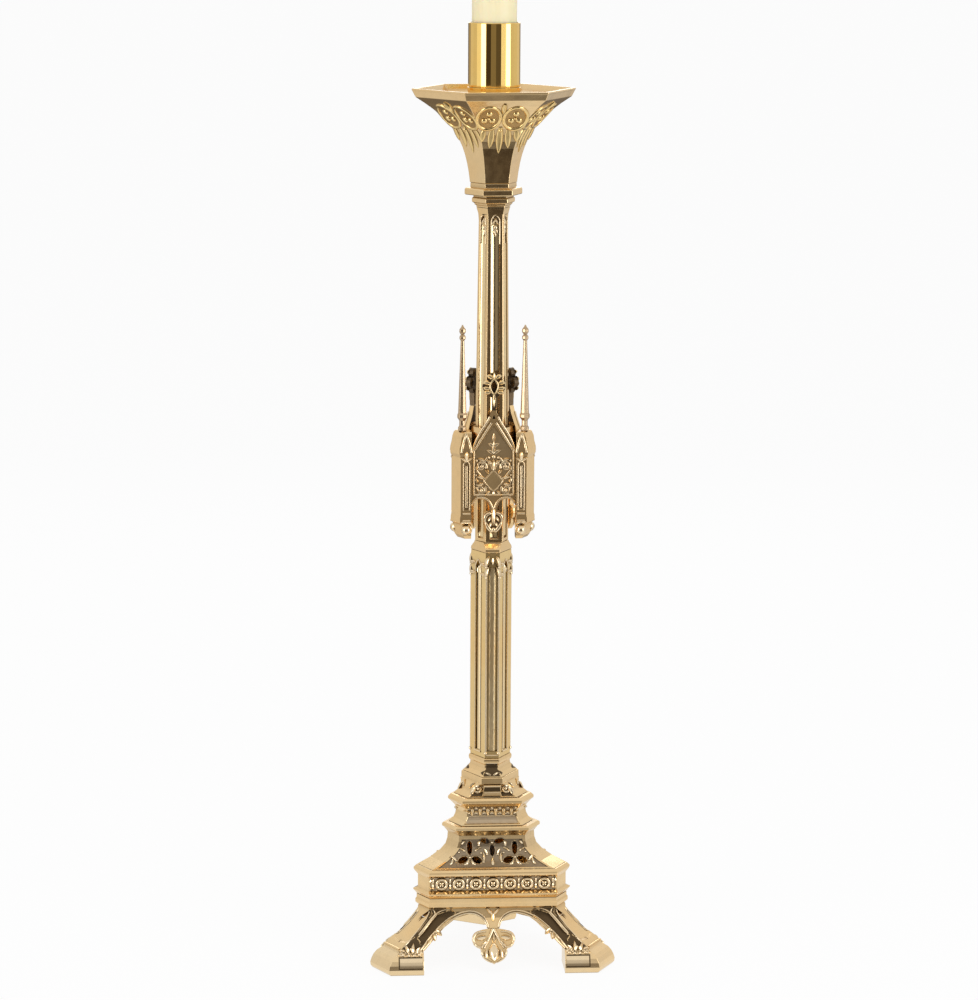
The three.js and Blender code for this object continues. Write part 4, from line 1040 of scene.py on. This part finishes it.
knop_foot = foot_of("knop_buttress_back")
knop_height = top_of("knop_buttress_back") - knop_foot
KNOP_NODES = [f"knop_panel_{side}" for side in SIDE_NAMES]
PANEL_MIDDLE = 68.8
PANEL_STEM = 99.8
PANEL_HALF = 21.8
GABLE_FOOT = 103.8
GABLE_PEAK = 134.5
LOZENGE_FRAME = ((0.0, 12.6), (11.2, 0.0), (0.0, -12.6), (-11.2, 0.0), (0.0, 12.6))
LOZENGE = (
    (0.0, 12.0), (6.0, 6.6), (10.6, 0.0), (6.0, -6.6), (0.0, -12.0), (-6.0, -6.6), (-10.6, 0.0), (-6.0, 6.6),
)
PANEL_SCROLLS = (
    (spiral(14.4, 17.6, 6.2, 1.8, 200.0, -440.0), 2.0),
    (spiral(14.8, -9.8, 5.4, 1.6, 160.0, 440.0), 1.9),
    (bezier((0.8, 13.6), (3.0, 21.0), (6.5, 23.0), (8.0, 17.5)), 1.7),
    (bezier((10.5, 2.0), (14.0, 7.0), (18.5, 7.5), (21.0, 2.0)), 1.6),
    (line((7.5, 27.5), (21.0, 10.5), 6), 1.7),
    (line((20.4, 13.0), (11.2, 2.4), 5), 1.7),
    (line((20.8, -3.4), (7.2, -13.0), 6), 1.7),
    (line((8.0, -6.5), (20.0, -18.0), 6), 1.7),
)
PANEL_LEAVES = (
    (1.5, 20.0, 40.0, 9.0, 5.0, 30.0), (20.5, 12.0, 0.0, 9.0, 4.6, -20.0),
    (11.5, 3.0, 60.0, 9.0, 5.4, 20.0), (12.0, -3.0, 110.0, 8.5, 5.0, -20.0),
    (20.4, 4.0, 180.0, 8.0, 4.4, 20.0), (4.0, -12.5, 110.0, 8.0, 4.6, 40.0),
    (11.0, 24.5, 60.0, 8.5, 4.6, 30.0), (6.0, 8.5, 20.0, 7.5, 4.0, 20.0),
)
PANEL_BEADS = (
    (14.4, 17.6, 2.5), (14.6, -11.0, 2.8), (20.2, 24.5, 2.0), (20.2, -8.0, 1.9),
    (5.5, 28.0, 1.9), (8.0, -14.0, 1.7), (20.8, 7.0, 1.6),
)


def gable_line(inset):
    """One slope of the ogee coping, from its foot to the finial."""
    return bezier((26.0 - inset, 105.0), (21.0 - inset, 128.0), (7.0 - inset * 0.4, 135.0), (2.6, 152.5), 14)


def gable_half(z):
    """Half the width of the panel's sunk ground at a height."""
    if z < GABLE_FOOT:
        return PANEL_HALF
    return max(0.4, PANEL_HALF * (GABLE_PEAK - z) / (GABLE_PEAK - GABLE_FOOT))


def lozenge_line():
    """The frame of the lozenge, each side of it bulging a little."""
    points = []
    for (u0, z0), (u1, z1) in zip(LOZENGE_FRAME, LOZENGE_FRAME[1:]):
        for i in range(5):
            t = i / 5
            swell = 1 + 0.3 * t * (1 - t)
            points.append(((u0 + (u1 - u0) * t) * swell, (z0 + (z1 - z0) * t) * swell))
    return points


@piece("knop_arabesque", chased, KNOP_NODES, knop_foot)
def draw_panel(relief):
    relief.rib(moved(lozenge_line(), 0.0, PANEL_MIDDLE), 1.1, 1.2, closed=True)
    relief.rib(line((-22.8, 52.8), (22.8, 52.8), 2), 1.2)
    relief.boss(0.0, PANEL_MIDDLE + 29.0, 2.6, 1.0)
    relief.leaf(0.0, PANEL_MIDDLE - 12.5, 180.0, 5.0, 5.4, 2.2)
    relief.leaf(0.0, PANEL_MIDDLE + 13.0, 0.0, 13.0, 5.4, 2.6)
    relief.leaf(0.0, PANEL_STEM + 2.0, 0.0, 14.0, 4.2, 1.3)
    relief.leaf(0.0, PANEL_STEM + 16.0, 0.0, 10.0, 3.8, 1.2)
    for _ in relief.halves():
        for scroll, size in PANEL_SCROLLS:
            relief.rib(moved(scroll, 0.0, PANEL_MIDDLE), tail(size, 0.6), 1.15)
        for u, z, heading, length, width, bend in PANEL_LEAVES:
            relief.leaf(u, PANEL_MIDDLE + z, heading, length, width, 2.6, bend)
        for u, z, radius in PANEL_BEADS:
            relief.boss(u, PANEL_MIDDLE + z, radius, 1.1)
        for rise, length in ((1.0, 9.0), (10.0, 7.0)):
            relief.leaf(0.8, PANEL_STEM + rise, 30.0, length, 4.4, 1.2, 50.0)
        relief.rib(gable_line(1.0)[:-2], 1.5, 1.1)
        relief.rib(line((22.6, 106.5), (2.6, 138.5), 6), 1.6, 1.1)
        relief.rib(line((23.4, 52.0), (23.4, 106.0), 2), 1.0)
        relief.rib(bezier((0.8, 36.0), (3.5, 44.0), (7.0, 49.4), (14.8, 49.6)), 1.3)
        relief.rib(bezier((14.8, 49.6), (20.0, 49.8), (24.0, 46.0), (25.0, 42.0)), 1.3)


@piece("knop_lozenge", speckled, KNOP_NODES, knop_foot)
def draw_lozenge(relief):
    relief.plate(moved(LOZENGE, 0.0, PANEL_MIDDLE), 0.7, 0.25)


@piece("knop_panel_ground", stippled, KNOP_NODES, knop_foot)
def draw_panel_ground(relief):
    for low, high in ((53.5, GABLE_FOOT), (GABLE_FOOT, GABLE_PEAK - 1.0)):
        relief.field(gable_half, low, high, 1.3, grain=0.14)


# Hanging leaf under each panel of the knop, measured from its top

leaf_top = knop_foot + 33.0
HANGING_LEAF = ((3.0, 0.0), (8.5, -6.0), (8.0, -14.0), (1.0, -24.0))


@piece("knop_leaf_carving", chased, KNOP_NODES, leaf_top)
def draw_knop_leaf(relief):
    relief.leaf(0.0, 2.0, 180.0, 21.0, 7.0, 3.4)
    relief.boss(0.0, -22.0, 3.2, 1.0)
    for _ in relief.halves():
        relief.rib(bezier((2.0, -3.0), (7.0, -1.5), (12.0, -6.0), (9.5, -13.0)), taper(2.4, 0.5), 1.1)
        relief.rib(bezier((9.5, -13.0), (8.0, -18.0), (4.0, -22.0), (1.4, -25.0)), taper(2.4, 0.5), 1.1)
        relief.leaf(2.0, -6.0, 128.0, 8.5, 5.0, 2.4, 30.0)
        relief.leaf(1.8, -13.0, 140.0, 7.5, 4.6, 2.2, 25.0)


@piece("knop_leaf_ground", matted, KNOP_NODES, leaf_top)
def draw_leaf_ground(relief):
    relief.field(lambda z: reach_at(HANGING_LEAF, z), -23.0, -1.0, 1.2)


# Backs of the gables above the sleeve, in near-black brass as painted shade

@piece("gable_backs", shaded, KNOP_NODES, knop_foot, facing=-1)
def draw_gable_back(relief):
    slope = [(u, z) for u, z in gable_line(0.8) if z > 131.0]
    relief.plate(slope + [(-u, z) for u, z in reversed(slope)], 0.3)


# Buttresses of the knop: a lancet on each side face, a gablet over it and a scroll below

BUTTRESS_NODES = tuple(f"knop_buttress_{corner}" for corner in CORNER_NAMES)
BUTTRESS_MIDDLE = 32.2


@piece("buttress_ornament", chased, [BUTTRESS_NODES] * 3, knop_foot)
def draw_buttress(relief):
    middle = BUTTRESS_MIDDLE
    peak = (middle + 0.5, knop_height - 2.0)
    for _ in relief.halves():
        relief.rib(moved(lancet(3.6, 35.0, 88.0), middle), 0.7)
        relief.rib(line((middle, 38.0), (middle, 88.0), 6), 1.9, 1.0)
        relief.leaf(middle, 93.0, 0.0, 12.0, 5.6, 2.2)
        for turn in (-1, 1):
            relief.leaf(middle, 93.0, turn * 40.0, 9.0, 4.0, 2.0, turn * 30.0)
            relief.leaf(middle, 20.0, turn * 60.0, 7.0, 4.4, 2.0, turn * 60.0)
        relief.rib(bezier((middle - 5.6, 104.0), (middle - 4.6, 112.0), (middle - 2.0, 119.0), peak), 1.5)
        relief.rib(bezier((middle + 6.0, 104.0), (middle + 5.0, 112.0), (middle + 2.6, 119.0), peak), 1.5)
        for z in (22.5, 31.0):
            relief.rib(line((middle - 4.6, z), (middle + 4.6, z), 2), 1.4)
        relief.rib(spiral(middle, 11.0, 6.2, 4.8, 90.0, 330.0), tail(1.5, 0.6), 1.3)
        relief.boss(middle, 11.6, 6.2, 1.0)


# Finials: curled leaves round an upright eye, bright in front, with painted shade in near-black brass
# behind, measured from the eye

finial_eye = top_of("gable_finial_front") - 16.7
FINIAL_NODES = [f"gable_finial_{side}" for side in SIDE_NAMES]
EYE_HALF = 4.7
EYE_TALL = 9.3
EYE_STEPS = 9
FINIAL_LEAVES = (
    (4.6, -5.5, 140.0, 8.0, -90.0), (5.2, -1.5, 110.0, 8.0, -50.0),
    (5.0, 3.0, 40.0, 8.5, 80.0), (2.4, 9.0, 10.0, 8.0, 90.0),
)


@piece("finial_leaves", bright, FINIAL_NODES, finial_eye)
def draw_finial(relief):
    eye = []
    for side in (1, -1):
        for i in range(EYE_STEPS):
            share = side * (2 * i / EYE_STEPS - 1)
            eye.append((side * EYE_HALF * (1 - share * share), share * EYE_TALL))
    relief.rib(eye, 1.2, 1.1, closed=True)
    relief.leaf(0.0, 9.0, 0.0, 8.0, 4.4, 2.0)
    relief.leaf(0.0, -8.5, 180.0, 16.0, 4.2, 1.5)
    for _ in relief.halves():
        for u, z, heading, length, bend in FINIAL_LEAVES:
            relief.leaf(u, z, heading, length, 5.8, 1.9, bend)


@piece("finial_backs", shaded, FINIAL_NODES, finial_eye, facing=-1)
def draw_finial_back(relief):
    relief.rib(line((0.0, -9.0), (0.0, -26.3)), 1.7, 0.8)
    for u, z in ((0.0, 10.404), (7.14, 0.0), (-7.14, 0.0), (0.0, -7.14)):
        relief.boss(u, z, 5.4, 0.25)


# Pan: two foiled rings on each face with leaves hanging below them, measured from the rings' middles

pan_middle = top_of("drip_pan") - 31.5
PAN_RING = 15.6
PAN_SQUASH = 0.98


@piece("pan_tracery", gilt, "drip_pan", pan_middle, HEX_SIDES)
def draw_pan(relief):
    relief.leaf(0.0, -10.5, 180.0, 31.0, 9.0, 1.9)
    relief.leaf(0.0, 17.5, 180.0, 12.0, 7.0, 2.4)
    relief.boss(0.0, -14.0, 2.6, 1.1)
    for _ in relief.halves():
        relief.rib(circle(PAN_RING, 0.0, 13.6, 32, PAN_SQUASH), 2.3, 0.65, closed=True)
        for k in range(3):
            angle = radians(120.0 * k)
            relief.boss(PAN_RING + 5.4 * sin(angle), 5.4 * cos(angle), 4.2, 0.55)
        relief.boss(PAN_RING, 0.0, 2.0, 1.3)
        relief.leaf(9.5, -13.5, 180.0, 22.0, 8.6, 1.7, -6.0)
        relief.leaf(19.0, -14.5, 174.0, 14.0, 7.4, 1.6)


@piece("pan_ring_grounds", warm, "drip_pan", pan_middle, HEX_SIDES)
def draw_pan_ground(relief):
    for _ in relief.halves():
        relief.plate(circle(PAN_RING, 0.0, 12.4, 20, PAN_SQUASH), 0.12)


# Stage: what the metal mirrors, as (degrees round the object from the front, brightness)

SIDE_STOPS = (
    (-118, 0.75), (-85, 0.66), (-74, 1.0), (-42, 1.0), (-36, 0.06), (-22, 0.05), (-14, 0.22),
    (10, 0.25), (17, 0.06), (31, 0.05), (36, 1.0), (72, 1.0), (84, 0.66), (118, 0.75), (140, 0.72),
)
WALL_STOPS = ((-180, 1.0), (-152, 0.95), (-140, 0.5)) + SIDE_STOPS + ((152, 0.95), (180, 1.0))
FLOOR_STOPS = ((-180, 0.12), (-150, 0.18), (-138, 0.5)) + SIDE_STOPS + ((156, 0.2), (180, 0.12))


def studio_colour(t, vector, stops):
    """What the polished metal sees of the studio, by the direction round the object."""
    split = t.add("ShaderNodeSeparateXYZ")
    t.feed(split.inputs[0], vector)
    azimuth = t.math("ARCTAN2", split.outputs["X"], t.math("MULTIPLY", split.outputs["Y"], -1.0))
    ramp = t.add("ShaderNodeValToRGB")
    elements = ramp.color_ramp.elements
    while len(elements) < len(stops):
        elements.new(0.5)
    for element, (angle, value) in zip(elements, stops):
        element.position = (angle + 180.0) / 360.0
        element.color = (value, value ** 1.08, value ** 1.18, 1.0)
    t.set(ramp, "Fac", t.remap(azimuth, -pi, pi))
    return ramp.outputs["Color"], split.outputs["Z"]


def add_world():
    world = bpy.data.worlds.new("studio")
    bpy.context.scene.world = world
    world.use_nodes = True
    t = Nodes(world.node_tree)
    output = t.add("ShaderNodeOutputWorld")
    coords = t.add("ShaderNodeTexCoord")
    walls, height = studio_colour(t, coords.outputs["Generated"], WALL_STOPS)
    above = t.remap(height, 0.2, 0.5)
    studio = t.mix(above, walls, (0.82, 0.80, 0.77))
    path = t.add("ShaderNodeLightPath")
    seen = t.math("MAXIMUM", path.outputs["Is Camera Ray"], path.outputs["Is Transmission Ray"])
    colour = t.mix(path.outputs["Is Glossy Ray"], (0.62, 0.62, 0.62), studio)
    colour = t.mix(seen, colour, (1.0, 1.0, 1.0))
    background = t.add("ShaderNodeBackground")
    t.set(background, "Color", colour)
    t.link(background.outputs[0], output.inputs[0])


FLOOR_REACH = 60000.0
FLOOR_DROP = 0.4


def add_floor():
    """A white floor that takes shadows and that the metal mirrors like the walls."""
    mesh = bpy.data.meshes.new("floor")
    reach = FLOOR_REACH * MM
    corners = [(-reach, -reach, 0), (reach, -reach, 0), (reach, reach, 0), (-reach, reach, 0)]
    mesh.from_pydata(corners, [], [(0, 1, 2, 3)])
    floor = add_object("floor", mesh)
    floor.location.z = -FLOOR_DROP * MM
    material = bpy.data.materials.new("pale_floor")
    material.use_nodes = True
    t = Nodes(material.node_tree)
    output = t.add("ShaderNodeOutputMaterial")
    plain = t.add("ShaderNodeBsdfDiffuse")
    t.set(plain, "Color", (0.95, 0.95, 0.95))
    walls, _ = studio_colour(t, t.coords(), FLOOR_STOPS)
    far = t.add("ShaderNodeVectorMath", operation="LENGTH")
    t.link(t.coords(), far.inputs[0])
    away = t.remap(far.outputs["Value"], 0.25, 1.1)
    mirrored_floor = t.mix(away, (0.85, 0.84, 0.82), walls)
    path = t.add("ShaderNodeLightPath")
    colour = t.mix(path.outputs["Is Glossy Ray"], (1.0, 1.0, 1.0), mirrored_floor)
    glow = t.add("ShaderNodeEmission")
    t.set(glow, "Color", colour)
    share = t.math("MULTIPLY", path.outputs["Is Camera Ray"], 0.92)
    share = t.math("MAXIMUM", share, path.outputs["Is Glossy Ray"])
    mix = t.add("ShaderNodeMixShader")
    t.link(share, mix.inputs[0])
    t.link(plain.outputs[0], mix.inputs[1])
    t.link(glow.outputs[0], mix.inputs[2])
    t.link(mix.outputs[0], output.inputs[0])
    mesh.materials.append(material)


def add_lamp(name, azimuth, height, distance, width, tall, power, mirrored=True):
    """A soft box aimed at the middle of the object; its places and sizes are in metres."""
    data = bpy.data.lights.new(name, "AREA")
    data.shape = "RECTANGLE"
    data.size = width
    data.size_y = tall
    data.energy = power
    lamp = add_object(name, data)
    turn = radians(azimuth)
    place = AXIS + Vector((sin(turn) * distance, -cos(turn) * distance, height))
    aim = place - AXIS - UP * 0.6
    lamp.matrix_world = Matrix.Translation(place) @ aim.to_track_quat("Z", "Y").to_matrix().to_4x4()
    lamp.visible_glossy = mirrored


add_camera()
add_world()
add_floor()
add_lamp("left_softbox", -57.0, 0.85, 3.0, 1.3, 1.7, 20.0)
add_lamp("right_softbox", 53.0, 0.85, 3.0, 1.3, 1.7, 20.0)
add_lamp("top_softbox", 10.0, 3.4, 1.2, 2.0, 2.0, 20.0, mirrored=False)
add_lamp("back_softbox", 176.0, 1.65, 3.0, 2.2, 0.7, 9.0)

scene = bpy.context.scene
scene.view_settings.view_transform = "Standard"
